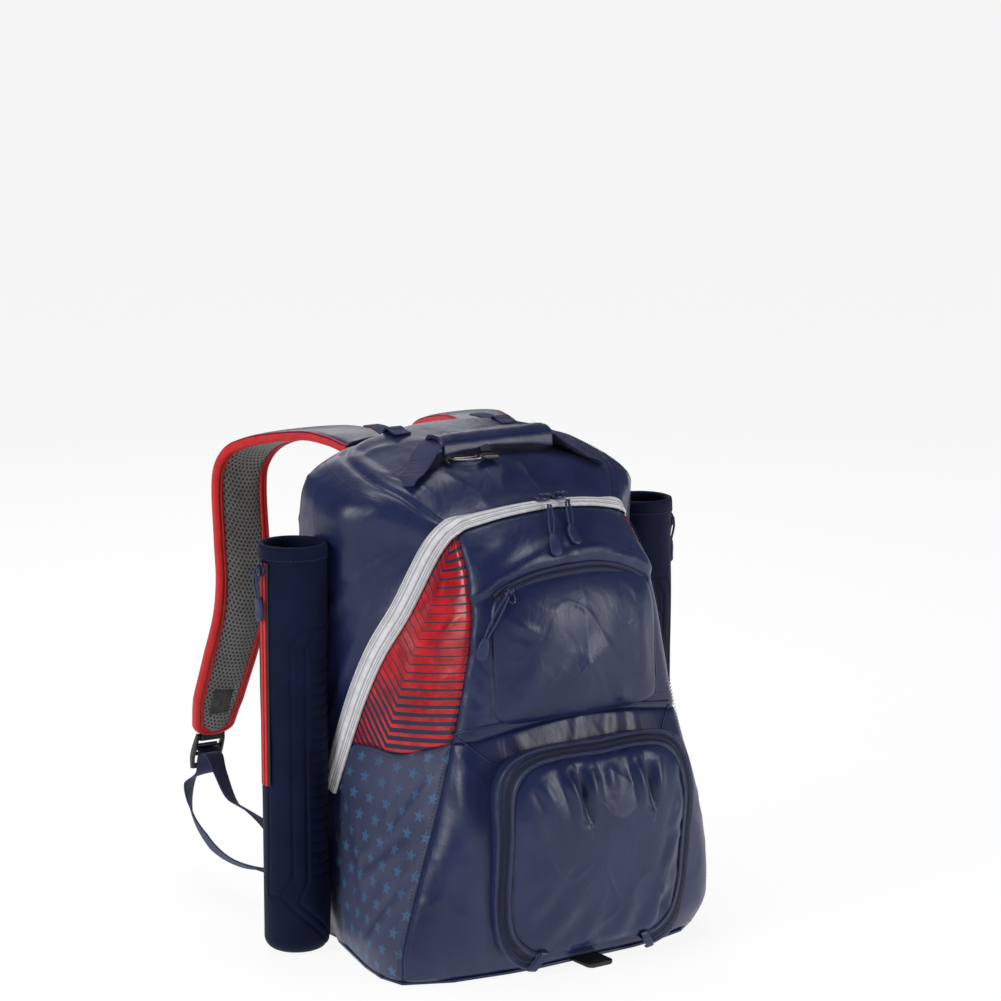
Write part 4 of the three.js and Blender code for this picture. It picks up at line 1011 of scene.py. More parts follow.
# The front panel inside the arch, with its hood over the middle pocket's zip
HOOD = {"x": [-115, -106, -77, -38, -11, 33, 75, 106, 115], "z": [350, 356, 373, 382, 386, 384, 374, 358, 352]}
FRONT_FOLDS = [
    {"x0": -70, "z0": 378, "x1": -20, "z1": 396, "width": 7, "depth": 2.2},
    {"x0": -10, "z0": 392, "x1": 60, "z1": 388, "width": 6, "depth": 2.4},
    {"x0": 40, "z0": 400, "x1": 88, "z1": 384, "width": 6, "depth": 1.8},
    {"x0": -90, "z0": 385, "x1": -60, "z1": 402, "width": 8, "depth": 1.4},
    {"x0": -112, "z0": 330, "x1": -98, "z1": 300, "width": 5, "depth": 1.6},
    {"x0": -118, "z0": 290, "x1": -100, "z1": 262, "width": 5, "depth": 1.2},
]


def hood(p, around, up):
    """A fold that stands out over the zip, steep below and soft above."""
    over = p[..., 2] - np.interp(p[..., 0], HOOD["x"], HOOD["z"])
    soft = np.exp(-((np.maximum(over, 0) / 16) ** 2)) * np.exp(-((np.minimum(over, 0) / 4.5) ** 2))
    ends = 1 - 0.55 * np.clip((np.abs(p[..., 0]) - 60) / 50, 0, 1)
    return 7.0 * soft * ends + front_folds(p, FRONT_FOLDS)


share, rise = np.meshgrid(np.linspace(-1, 1, 96), np.linspace(0, 1, 92))
front_a = share * EDGE_AROUND
front_low = seam_up(front_a)
panel("front_panel_cloth", front_a, front_low + rise * (arch_up(front_a) - front_low), navy_cloth,
      "body_fabric", "front_panel", seed=11, amount=0.6, puff=1.2, extra=hood)

# The lower front with its pleats over the pocket, and the printed side panels
LOWER_FOLDS = [
    {"x0": -80, "z0": 232, "x1": -66, "z1": 212, "width": 7, "depth": 0.9},
    {"x0": -8, "z0": 240, "x1": -12, "z1": 212, "width": 5, "depth": 0.9},
    {"x0": 42, "z0": 240, "x1": 34, "z1": 210, "width": 7, "depth": 1.2},
    {"x0": 62, "z0": 238, "x1": 60, "z1": 208, "width": 5, "depth": 0.8},
    {"x0": -130, "z0": 190, "x1": -122, "z1": 120, "width": 9, "depth": 1.8},
    {"x0": -128, "z0": 110, "x1": -140, "z1": 40, "width": 10, "depth": 1.8},
]
lower_a, lower_rise = np.meshgrid(np.linspace(-EDGE_AROUND, EDGE_AROUND, 110), np.linspace(0, 1, 86))
panel("lower_front_cloth", lower_a, lower_rise * seam_up(lower_a), navy_cloth, "body_fabric", "lower_front",
      seed=15, amount=0.7, puff=1.6, extra=lambda p, a, u: front_folds(p, LOWER_FOLDS))

SIDE_FOLDS = {
    -1: [{"a0": -0.38, "u0": 0.46, "a1": -0.45, "u1": 0.30, "width": 6, "depth": 2.2},
         {"a0": -0.40, "u0": 0.30, "a1": -0.52, "u1": 0.16, "width": 8, "depth": 2.6},
         {"a0": -0.38, "u0": 0.20, "a1": -0.46, "u1": 0.06, "width": 7, "depth": 2.4},
         {"a0": -0.56, "u0": 0.33, "a1": -0.50, "u1": 0.14, "width": 9, "depth": 2.2}],
    1: [{"a0": 0.38, "u0": 0.46, "a1": 0.47, "u1": 0.30, "width": 7, "depth": 3.0},
        {"a0": 0.40, "u0": 0.28, "a1": 0.52, "u1": 0.14, "width": 8, "depth": 3.0},
        {"a0": 0.39, "u0": 0.15, "a1": 0.48, "u1": 0.03, "width": 7, "depth": 2.6}],
}
for side, sign in (("left", -1), ("right", 1)):
    share, rise = np.meshgrid(np.linspace(0, 1, 60), np.linspace(0, 1, 74))
    around = EDGE_AROUND + (0.612 - EDGE_AROUND) * share
    around = -around[:, ::-1] if sign < 0 else around

    def side_folds(p, a, u, rows=SIDE_FOLDS[sign]):
        total = 0
        for row in rows:
            ends = [body(np.array([row[f"a{k}"]]), np.array([row[f"u{k}"]]))[0] for k in (0, 1)]
            total = total + stroke(p, ends[0], ends[1], row["width"], row["depth"])
        return total

    panel(f"side_panel_{side}_cloth", around, rise * seam_up(around), star_cloth, "star_fabric",
          f"side_panel_{side}", seed=21 + sign, amount=1.0, puff=1.2, extra=side_folds)


# Tapes and seams on the body
def laid(path, reach=0.0, lift=0.0, tree=None):
    """A line on the body beside a path, lifted off it, with the directions out."""
    _, out = settled(path, tree)
    out = unit(calmed(out, 8))
    side = np.cross(out, unit(np.gradient(path, axis=0)))
    found, away = settled(path + side * reach, tree)
    away = unit(calmed(away, 8))
    return calmed(found, 2) + away * lift, away


def tape(name, path, profile, finish, replaced=(), thickness=1.0, tree=None):
    """A tape on the body. The profile is (to the left of the path, out of the body) pairs."""
    p = np.stack([laid(path, reach, lift, tree)[0] for reach, lift in profile])
    return thicken(grid_piece(name, p, finish, replaced, flip=profile[0][0] < profile[-1][0]), thickness)


TAPE = [(-10.3, 0.5), (-9.8, 2.2), (-6.6, 2.7), (-2.9, 2.8), (-2.3, 3.4), (0, 3.7), (2.3, 3.4), (2.9, 2.8),
        (6.6, 2.7), (9.8, 2.2), (10.3, 0.5)]
flat_end = 1 - 0.8 * np.clip((np.linspace(0, 1, len(arch)) - 0.72) / 0.14, 0, 1)[:, None]
corner_lift = 1.5 * np.exp(-(((np.abs(arch[:, :1]) - 98) / 15) ** 2))
tape("main_zip_tape", arch,
     [(reach, lift * flat_end + corner_lift * (1 - abs(reach) / 25)) for reach, lift in TAPE],
     white_tape, "main_zip")
whole = int(0.82 * len(arch))
repeats("main_zip_coil", [[row[:whole] for row in laid(arch, 0.0, 4.1 * flat_end + corner_lift)]],
        1.7, (1.0, 4.2, 1.0), coil_white)
repeats("main_zip_stitches", [[row[:whole] for row in laid(arch, reach, 3.1 * flat_end + corner_lift * 0.75)]
                              for reach in (-8.4, 8.4, -4.6, 4.6)], 3.4, (2.5, 0.7, 0.6), thread_white)


def at_body(around, up, step=2.5):
    return evenly(over_body(np.asarray(around, float), np.asarray(up, float)), step)


# Stitches beside the seams of the body
edge_up = np.linspace(0.02, float(arch_up(EDGE_AROUND)) - 0.014, 120)
seam_lines = []
for sign in (-1, 1):
    for shift in (-0.008, 0.008):
        seam_lines.append(laid(at_body(sign * (EDGE_AROUND + shift) + 0 * edge_up, edge_up), 0, 1.2))
    low = np.linspace(EDGE_AROUND + 0.02, 0.57, 60)
    seam_lines.append(laid(at_body(sign * low, seam_up(low) - 0.009), 0, 1.4))
repeats("body_seam_stitches", seam_lines, 3.6, (2.4, 0.7, 0.6), thread_navy)


# Pockets
def outline(angle, half_x, half_z, corner):
    sharp = 2 + 4 * (1 - corner / min(half_x, half_z))
    c, s = np.cos(angle), np.sin(angle)
    reach = (np.abs(c) ** sharp + np.abs(s) ** sharp) ** (-1 / sharp)
    return half_x * reach * c, half_z * reach * s


LOW = {"half_x": 112.0, "bottom": 8.0, "top": 216.0, "corner": 40.0, "band": 0.86, "side": 5.0, "lip": 19.0,
       "toe": 14.0, "toe_height": 60.0, "bulge": 13.0, "roundness": 2.6}


def low_pocket(angle, ring):
    """Plain form of the lower pocket: a point and the direction out of it, at an angle and a share."""
    half_z, middle_z = (LOW["top"] - LOW["bottom"]) / 2, (LOW["top"] + LOW["bottom"]) / 2
    x, z = outline(angle, LOW["half_x"], half_z, LOW["corner"])
    inside = np.minimum(ring, 1)
    z = middle_z + z * inside
    a, u = front_spot(x * inside, z)
    lift = LOW["side"] + (LOW["lip"] - LOW["side"]) * (z / LOW["top"]) ** 2 \
        + LOW["toe"] * np.maximum(0, 1 - z / LOW["toe_height"]) ** 2
    face = lift + LOW["bulge"] * (1 - inside ** LOW["roundness"])
    away = body_out(a, u)
    base = over_body(a, u)
    height = np.where(ring > 1, lift * (1 - (ring - 1) / 0.2) - 2.0 * (ring - 1) / 0.2, face)
    return base + away * height[..., None], away


POCKET_FOLDS = [
    {"at": (-30, 192), "to": (-22, 150), "width": 7, "depth": -6.0},
    {"at": (-44, 194), "to": (-30, 158), "width": 6, "depth": 3.0},
    {"at": (-14, 194), "to": (-16, 158), "width": 6, "depth": 3.0},
    {"at": (50, 192), "to": (54, 150), "width": 7, "depth": -6.0},
    {"at": (38, 194), "to": (46, 160), "width": 6, "depth": 3.0},
    {"at": (66, 192), "to": (62, 158), "width": 6, "depth": 2.6},
    {"at": (6, 196), "to": (8, 172), "width": 6, "depth": 1.8},
    {"at": (-70, 190), "to": (-60, 165), "width": 6, "depth": 2.0},
    {"at": (-86, 150), "to": (-60, 120), "width": 9, "depth": 1.6},
    {"at": (-86, 90), "to": (-40, 110), "width": 10, "depth": 1.6},
    {"at": (-84, 60), "to": (-52, 92), "width": 9, "depth": 2.2},
    {"at": (-66, 30), "to": (-30, 70), "width": 10, "depth": 2.2},
    {"at": (-20, 18), "to": (-6, 52), "width": 9, "depth": 2.4},
    {"at": (24, 16), "to": (34, 60), "width": 10, "depth": 2.6},
    {"at": (60, 22), "to": (72, 70), "width": 9, "depth": 4.0},
    {"at": (86, 30), "to": (74, 52), "width": 7, "depth": -5.0},
    {"at": (90, 120), "to": (76, 80), "width": 7, "depth": 2.4},
    {"at": (92, 150), "to": (80, 120), "width": 6, "depth": 2.0},
]


def pocket_folds(p, rows, depth_at):
    """Folds given as x and z on a pocket's face, whose depth in y comes from the face itself."""
    total = 0
    flat = p.reshape(-1, 3)
    for row in rows:
        ends = [flat[np.argmin((flat[:, 0] - x) ** 2 + (flat[:, 2] - z) ** 2)]
                for x, z in (row["at"], row["to"])]
        total = total + stroke(p, ends[0], ends[1], row["width"], row["depth"], row.get("lean", 0.5))
    return total * depth_at


def lower_pocket():
    rings = np.concatenate([np.linspace(LOW["band"], 0.2, 58), [0.15, 0.1, 0.06, 0.03, 0.01]])
    angles = np.linspace(0, TAU, 301)[:-1]
    turn, ring = np.meshgrid(angles, rings)
    p, away = low_pocket(turn, ring)
    gap = (LOW["band"] - ring) * 105
    low_edge = np.clip(-np.sin(turn) * 1.8 - 0.9, 0, 1)
    gather = np.exp(-gap / 7.0) * noise(np.stack([turn * 60, 0 * turn, 0 * turn], -1), 6.5, 4)
    height = -2.6 * np.exp(-((gap / 4.0) ** 2)) + gather * 1.5 + 1.5 * fade_in(gap, 20)
    height = height + crumple(p, 0.8, 31, 1.1) * (0.2 + 0.8 * fade_in(gap, 18))
    height = height + pocket_folds(p, POCKET_FOLDS, fade_in(gap + 3, 7))
    height = height * (1 - 0.5 * low_edge * np.exp(-gap / 10))
    p = p + away * height[..., None]
    piece = grid_piece("lower_pocket_cloth", p, navy_cloth, "lower_pocket", round_way=True,
                       caps=True, flip=True)
    drop_face(piece, len(piece.data.polygons) - 2)
    thicken(piece, 2.2)


def drop_face(piece, number):
    work = bmesh.new()
    work.from_mesh(piece.data)
    work.faces.ensure_lookup_table()
    bmesh.ops.delete(work, geom=[work.faces[number]], context="FACES_ONLY")
    work.to_mesh(piece.data)
    work.free()


OPEN_FROM, OPEN_TO = math.radians(236), math.radians(300)
BAND = [(0.86, -1.4), (0.864, 0.6), (0.874, 1.9), (0.884, 2.3), (0.894, 1.9), (0.902, 0.6), (0.906, 0.1),
        (0.922, 0.2), (0.926, 0.9), (0.938, 1.2), (0.950, 0.9), (0.954, 0.2), (0.966, 0.1), (0.970, 0.8),
        (0.978, 2.2), (0.988, 2.8), (0.997, 2.2), (1.0, 0.4)]


def pocket_band():
    """The pocket's zip between two welts, round all but the bottom, and the wall behind it."""
    angles = np.linspace(OPEN_TO - TAU, OPEN_FROM, 300)
    rows = []
    for ring, lift in BAND:
        p, away = low_pocket(angles, np.full_like(angles, ring))
        wave = 0.6 * noise(np.stack([angles * 90, 0 * angles, 0 * angles + 3], -1), 14, 6)
        rows.append(p + away * (lift + wave)[:, None])
    for ring in (1.02, 1.06, 1.1, 1.15, 1.2):
        p, away = low_pocket(angles, np.full_like(angles, ring))
        rows.append(p + away * 0.2)
    thicken(grid_piece("lower_pocket_band", np.stack(rows), dark_band, "lower_pocket_zip",
                       flip=True), 1.6)
    lines = []
    for ring in (0.938,):
        p, away = low_pocket(angles, np.full_like(angles, ring))
        lines.append((p + away * 1.9, away))
    repeats("lower_pocket_coil", lines, 1.5, (0.85, 3.4, 0.9), coil_navy)
    lines = []
    for ring in (0.912, 0.962):
        p, away = low_pocket(angles, np.full_like(angles, ring))
        lines.append((p + away * 0.9, away))
    repeats("lower_pocket_stitches", lines, 3.2, (2.2, 0.6, 0.5), thread_navy)


def band_finish():
    """Coated welts at both edges of the band, woven tape between them."""
    f = Finish("pocket zip band")
    across, along = f.cloth()
    picks = (across * (TAU / 0.0012)).sin()
    shade = f.noise(80.0, 3.0)
    welt = 1.0 - (along - 0.0082).ease(-0.0008, 0.0008) * (1.0 - (along - 0.0158).ease(-0.0008, 0.0008))
    colour = f.mix(welt, (0.006, 0.010, 0.042), f.mix(shade.ease(0.3, 0.7), NAVY, NAVY_LIGHT))
    return f.done(colour, f.blend(welt, 0.6, 0.36), f.bump(picks * 0.4 + shade * 0.6, 0.25, 0.6),
                  Sheen_Weight=0.02)


def zip_end_patches():
    """Folded tape over both ends of the pocket's zip."""
    for side, angle, turn in (("left", OPEN_FROM, 1), ("right", OPEN_TO - TAU, -1)):
        angles = angle + turn * np.linspace(-0.035, 0.03, 16)
        rows = []
        for ring, lift in ((1.012, 0.2), (1.0, 2.6), (0.99, 3.4), (0.95, 3.6), (0.9, 3.5), (0.872, 3.3), (0.858, 2.4),
                           (0.852, 0.4)):
            q, away = low_pocket(angles, np.full_like(angles, ring))
            rows.append(q + away * (0.8 * lift - 1.6 * np.exp(-((np.linspace(0, 1, 16) / 0.08) ** 2)))[:, None])
        thicken(grid_piece(f"lower_pocket_zip_end_{side}", np.stack(rows), navy_cloth,
                           flip=turn > 0), 1.2)


dark_band = band_finish()
lower_pocket()
pocket_band()
zip_end_patches()

MID = {"half_x": 92.0, "bottom": 240.0, "top": 362.0, "standoff": 1.2, "bulge": 8.5}
MID_FOLDS = [
    {"at": (-74, 334), "to": (-52, 322), "width": 5, "depth": 1.4},
    {"at": (30, 308), "to": (-30, 262), "width": 14, "depth": 2.0},
    {"at": (-50, 306), "to": (-66, 262), "width": 12, "depth": 1.6},
    {"at": (64, 330), "to": (74, 268), "width": 10, "depth": 1.8},
    {"at": (34, 264), "to": (50, 246), "width": 7, "depth": 1.2},
]


def middle_pocket():
    """The middle pocket: flat sewn sides and bottom, a soft face, its top edge under the zip."""
    half_z, middle_z = (MID["top"] - MID["bottom"]) / 2, (MID["top"] + MID["bottom"]) / 2
    rings = np.concatenate([[1.045, 1.03, 1.015], np.linspace(1.0, 0.2, 52), [0.15, 0.1, 0.06, 0.03, 0.01]])
    turn, ring = np.meshgrid(np.linspace(0, TAU, 261)[:-1], rings)
    sharp = np.where(np.sin(turn) < 0, 14.0, 6.0)
    reach = (np.abs(np.cos(turn)) ** sharp + np.abs(np.sin(turn)) ** sharp) ** (-1 / sharp)
    x, z = MID["half_x"] * reach * np.cos(turn), half_z * reach * np.sin(turn)
    inside = np.minimum(ring, 1)
    x, z = x * inside, z * inside
    z = middle_z + z + 8.0 * (1 - (x / MID["half_x"]) ** 2) * np.clip(z / half_z, 0, 1)
    a, u = front_spot(x, z)
    away = body_out(a, u)
    gap = (1 - inside) * 75
    face = MID["standoff"] + MID["bulge"] * (1 - inside ** 3.0)
    face = np.where(ring > 1, MID["standoff"] - (ring - 1) * 110, face)
    p = over_body(a, u) + away * face[..., None]
    height = crumple(p, 0.5, 41, 0.9) * (0.15 + 0.85 * fade_in(gap, 12)) - 0.8 * np.exp(-((gap / 2.5) ** 2))
    height = height + pocket_folds(p, MID_FOLDS, fade_in(gap + 3, 8))
    p = p + away * height[..., None]
    piece = grid_piece("middle_pocket_cloth", p, navy_cloth, "middle_pocket", round_way=True,
                       caps=True, flip=True)
    drop_face(piece, len(piece.data.polygons) - 2)
    thicken(piece, 2.0)


middle_pocket()


def on_front(points, lift=0.0, count=None):
    """A smooth line on the front through x and z places."""
    line = smooth_line(np.array([(x, 0.0, z) for x, z in points]), count or 120)
    a, u = front_spot(line[:, 0], line[:, 2])
    return evenly(over_body(a, u) + body_out(a, u) * lift, 1.5)


mid_zip = on_front([(-84, 353), (-70, 361), (-43, 369), (0, 373), (36, 370), (62, 362), (80, 352)], 1.0)
ZIP_BAND = [(-8, 0.0), (-7.6, 2.2), (-6.4, 3.2), (-5.2, 2.6), (-4.4, 1.6), (-2.4, 1.7), (-2, 2.5), (0, 2.9),
            (2, 2.5), (2.4, 1.7), (4.4, 1.6), (5.2, 2.4), (6.4, 3.0), (7.6, 2.0), (8, 0.0)]
tape("middle_pocket_zip_band", mid_zip, ZIP_BAND, dark_tape, "middle_pocket_zip")
repeats("middle_pocket_coil", [laid(mid_zip, 0.0, 3.3)], 1.4, (0.85, 3.2, 0.9), coil_navy)
repeats("middle_pocket_stitches", [laid(mid_zip, reach, 2.9) for reach in (-3.4, 3.4)], 3.0,
        (2.1, 0.6, 0.5), thread_navy)


# Lines that lie on the finished cloth
def cloth_tree(names):
    """The finished panels as one search tree, in millimetres."""
    points, faces = [], []
    for name in names:
        mesh = bpy.data.objects[name].data
        start = len(points)
        points += [v.co / MM for v in mesh.vertices]
        faces += [[start + k for k in f.vertices] for f in mesh.polygons]
    return BVHTree.FromPolygons(points, faces)


CLOTH = cloth_tree(["main_shell_cloth", "front_panel_cloth", "lower_front_cloth", "middle_pocket_cloth",
                    "lower_pocket_cloth", "side_panel_left_cloth", "side_panel_right_cloth", "main_zip_tape",
                    "gusset_left_print", "gusset_right_print", "lower_pocket_band", "middle_pocket_zip_band"])


def dropped(points, outs, lift=0.0, calm=3):
    """Places on the cloth under some points, found from outside, and the directions out."""
    found = []
    outs = np.broadcast_to(np.asarray(outs, float), np.shape(points))
    for place_, out in zip(np.asarray(points, float), outs):
        hit = CLOTH.ray_cast(Vector(place_ + out * 45), Vector(-out), 90)[0]
        found.append(place_ if hit is None else np.array(hit))
    return calmed(np.array(found), calm) + outs * lift


def on_cloth(spots, lift=0.0, count=80, calm=3):
    """A smooth line on the cloth of the front through x and z places, and the directions out."""
    line = smooth_line(np.array([(x, 0.0, z) for x, z in spots]), count)
    a, u = front_spot(line[:, 0], line[:, 2])
    out = unit(calmed(body_out(a, u), 6))
    return dropped(over_body(a, u), out, lift, calm), out


def from_above(x, y, lift=0.0):
    """The place on top of the bag over x and y."""
    hit = CLOTH.ray_cast(Vector((x, y, 620)), Vector((0, 0, -1)), 400)[0]
    return np.array(hit) + np.array([0, 0, lift])


def round_line(name, points, radius, finish, replaced=(), sides=8, wide=None):
    """A thin round cord or welt along a path."""
    circle = [(radius * math.cos(TAU * k / sides), radius * math.sin(TAU * k / sides)) for k in range(sides)]
    if wide is None:
        along = unit(np.gradient(np.asarray(points, float), axis=0))
        guide = np.where(np.abs(along[:, 2:]) < 0.8, np.array([0, 0, 1.0]), np.array([0, 1.0, 0]))
        wide = unit(np.cross(guide, along))
    return sweep(name, points, wide, circle, finish, replaced)


# Piping and topstitched seams
MIDDLE_PIPING = {
    "left": [(-90, 338), (-92, 318), (-92, 290), (-91, 262), (-89, 244)],
    "right": [(90, 338), (92, 318), (93, 290), (93, 262), (92, 246)],
    "bottom": [(-128, 231), (-116, 237), (-89, 240), (-45, 241.5), (20, 240), (70, 238), (112, 232)],
}
for side, spots in MIDDLE_PIPING.items():
    line, out = on_cloth(spots, 0.5, 90)
    round_line(f"middle_pocket_piping_{side}", line, 1.25, navy_cloth,
               wide=np.cross(out, unit(np.gradient(line, axis=0))))
SEAM_SPOTS = [[(-127, 230), (-115, 217), (-103, 206)], [(113, 229), (99, 215), (90, 202)]]
rows, welts = [], []
for spots in SEAM_SPOTS:
    line, out = on_cloth(spots, 0.2, 60, 2)
    side = np.cross(out, unit(np.gradient(line, axis=0)))
    welts.append(round_line("seam_welt", line, 0.9, navy_cloth, wide=side))
    for reach in (-3.4, 3.4):
        rows.append((dropped(line + side * reach, out, 0.35, 2), out))
join("lower_front_welts", welts)
for spots in ([(-98, 345), (-99, 300), (-97, 250)], [(-126, 246), (-60, 250), (30, 249), (110, 242)],
              [(-84, 374), (-43, 388), (0, 393), (36, 391), (80, 376)], [(-72, 341), (-52, 341)]):
    rows.append(on_cloth(spots, 0.35, 120, 2))
for sign in (-1, 1):
    rim = np.linspace(ARCH_AROUND + 0.03, 0.80, 160)
    line = at_body(sign * rim, 0.986 + 0 * rim)
    away = unit(calmed(settled(line)[1], 8))
    rows.append((dropped(line, away, 0.35, 2), away))
repeats("front_topstitches", rows, 3.2, (2.2, 0.65, 0.6), thread_navy)


# Zip sliders and their pulls
def slider(name, at, along, out, replaced=(), size=(15.0, 9.5, 3.0), loop=1.0, finish=None):
    """A zip slider: a plate that narrows to its tail, a bridge over it and a wire bail that hangs from it."""
    at, along, out = np.asarray(at, float), unit(np.asarray(along, float)), unit(np.asarray(out, float))
    along = unit(along - out * (out @ along))
    across = np.cross(out, along)
    finish = finish or navy_metal
    length, width, thickness = size
    nose = [(share * length, rounded(width * wide, thickness, 4, thickness * 0.4))
            for share, wide in ((-0.5, 0.5), (-0.42, 0.8), (-0.2, 1.0), (0.1, 1.0), (0.3, 0.8), (0.46, 0.6),
                                (0.5, 0.4))]
    line = at + np.outer([row[0] for row in nose], along) + out * thickness / 2
    plate = sweep(name + "_plate", line, across, np.stack([row[1] for row in nose]), finish)
    arc = np.linspace(0, math.pi, 14)
    hoop = at + out * thickness * 0.8 + np.outer(np.cos(arc), along) * length * 0.32 \
        + np.outer(np.sin(arc), out) * 3.0
    bridge = sweep(name + "_bridge", hoop, across, rounded(3.2, 1.4, 3, 0.6), finish)
    turn = np.linspace(0, TAU, 29)[:-1]
    fall = np.array([0, -1.0, -0.7]) if abs(out[2]) > 0.3 else np.array([0, 0, -1.0])
    tilt = unit(fall - out * (out @ fall) + out * 0.12)
    side = unit(np.cross(tilt, out))
    reach = 5.2 * loop
    bail = at + out * (thickness + 2.2) + tilt * reach * 0.75 + np.outer(np.cos(turn), side) * width * 0.42 \
        + np.outer(np.sin(turn), tilt) * reach
    ring = sweep(name + "_bail", bail, np.cross(tilt, side), rounded(1.7, 1.7, 3), finish,
                 closed=True)
    return join(name, [plate, bridge, ring], replaced)


def pull(name, path, out, tab_length, tab_width, replaced=(), string=1.0, finish=None):
    """Two strings of a cord loop that run into a moulded tab, which lies along the last of the path."""
    path = evenly(np.asarray(path, float), 1.0)
    tab_count = int(tab_length)
    out = unit(np.asarray(out, float))
    across = unit(np.cross(out, unit(np.gradient(path, axis=0))))
    spread = 1.0 + 1.6 * np.sin(np.linspace(0.15, math.pi, len(path) - tab_count + 4))
    strings = []
    for sign in (-1, 1):
        line = path[:len(spread)] + across[:len(spread)] * (sign * spread)[:, None]
        strings.append(round_line(f"{name}_{'left' if sign < 0 else 'right'}", line, string, navy_rubber,
                                  wide=across[:len(spread)]))
    tab = path[-tab_count:]
    shares = np.linspace(0, 1, len(tab))
    wide = tab_width * (0.5 + 0.5 * np.sin(np.minimum(1, shares * 2.2) * math.pi / 2))
    wide = np.maximum(wide * np.sqrt(np.clip((1.001 - shares) * 6, 0, 1)), 1.2)
    thick = np.maximum(4.2 * np.sqrt(np.clip((1.001 - shares) * 8, 0, 1)), 1.0)
    thick = thick * (1 - 0.28 * np.exp(-(((shares - 0.58) / 0.24) ** 2)))
    outlines = np.stack([rounded(w, t, 4, min(w, t) * 0.42) for w, t in zip(wide, thick)])
    moulded = sweep(name + "_tab", tab, across[-tab_count:], outlines, finish or navy_rubber)
    return join(name, strings + [moulded], replaced)


def hanging(spots, lifts, count=70):
    """A path that hangs over the front cloth, with its own distance from it at each spot."""
    line, out = on_cloth(spots, 0.0, count, 6)
    lift = np.interp(np.linspace(0, 1, len(line)), np.linspace(0, 1, len(lifts)), lifts)
    return line + out * lift[:, None], out


for side, x in (("left", -5.0), ("right", 12.0)):
    k = int(np.argmin(np.abs(arch[:, 0] - x)))
    out = settled(arch[k])[1]
    slider(f"main_zip_slider_{side}_metal", dropped(arch[k:k + 1], out, 0.6, 0)[0], (1, 0, 0), out,
           f"main_zip_slider_{side}", (16.0, 12.0, 3.4), 1.5)
PULLS = {"left": [(-7, 427), (-10, 419), (-14, 409), (-18, 398), (-21, 386)],
         "right": [(13, 428), (11, 421), (8, 413), (4, 403), (1, 393)]}
for side, spots in PULLS.items():
    line, out = hanging(spots, [8.5, 7.0, 4.0, 3.2, 3.2])
    pull(f"main_zip_pull_{side}_cord", line, out[len(out) // 2], 25, 11.5, f"main_zip_pull_{side}", 1.15)
spot, out = on_cloth([(-80, 356), (-74, 360), (-68, 363)], 0.5, 3, 0)
slider("middle_pocket_slider", spot[1], (0.9, 0, 0.42), out[1], (), (13.0, 8.5, 2.8), 1.2)
line, out = hanging([(-77, 356), (-84, 347), (-92, 334), (-99, 320), (-104, 300)], [8.0, 5.5, 3.6, 3.2, 3.2])
pull("middle_pocket_pull", line, out[len(out) // 2], 23, 10.5)


# Bat sleeves
SLEEVE = {"x": 205.1, "y": 62.0, "lift": 1.0, "radius": 32.0, "wall": 4.0, "height": 395.0, "corner": 12.0}
EMBOSSED = [((-3, 78), (-3, 300)), ((11, 74), (11, 300)), ((-3, 300), (7, 318)), ((11, 300), (20, 314)),
            ((7, 318), (60, 318)), ((-3, 78), (-16, 58)), ((11, 74), (2, 52)), ((-16, 58), (46, 0)),
            ((2, 52), (60, 0)), ((-30, 58), (-16, 58)), ((-30, 58), (-30, 300)), ((-30, 300), (-44, 320))]


def sleeve_relief(s, z):
    """Embossed lines of a sleeve: s runs round it from the side that faces the front, z up it."""
    total = 0
    for (s0, z0), (s1, z1) in EMBOSSED:
        t = np.clip(((s - s0) * (s1 - s0) + (z - z0) * (z1 - z0)) / ((s1 - s0) ** 2 + (z1 - z0) ** 2), 0, 1)
        distance = np.hypot(s - s0 - t * (s1 - s0), z - z0 - t * (z1 - z0))
        total = np.maximum(total, np.exp(-((distance / 1.5) ** 2)))
    ribs = np.exp(-((((z - 6) % 11 - 5.5) / 1.4) ** 2)) * (z > 70) * (z < 292)
    ribs = ribs * np.clip((s - 15) / 2, 0, 1) * (s < 58)
    return -1.3 * np.maximum(total, ribs * 0.9)


def ring_piece(name, middle, profile, finish, replaced=()):
    """A closed ring about an upright line through the middle, from (radius, height) pairs."""
    angles = np.linspace(0, TAU, 121)[:-1]
    around = np.stack([np.cos(angles), np.sin(angles), 0 * angles], -1)
    profile = np.asarray(profile, float)
    out, up = profile[:, 0][:, None, None], profile[:, 1][:, None, None]
    p = middle + around[None] * out + np.array([0, 0, 1.0]) * up
    return grid_piece(name, np.concatenate([p, p[:1]]), finish, replaced, round_way=True)


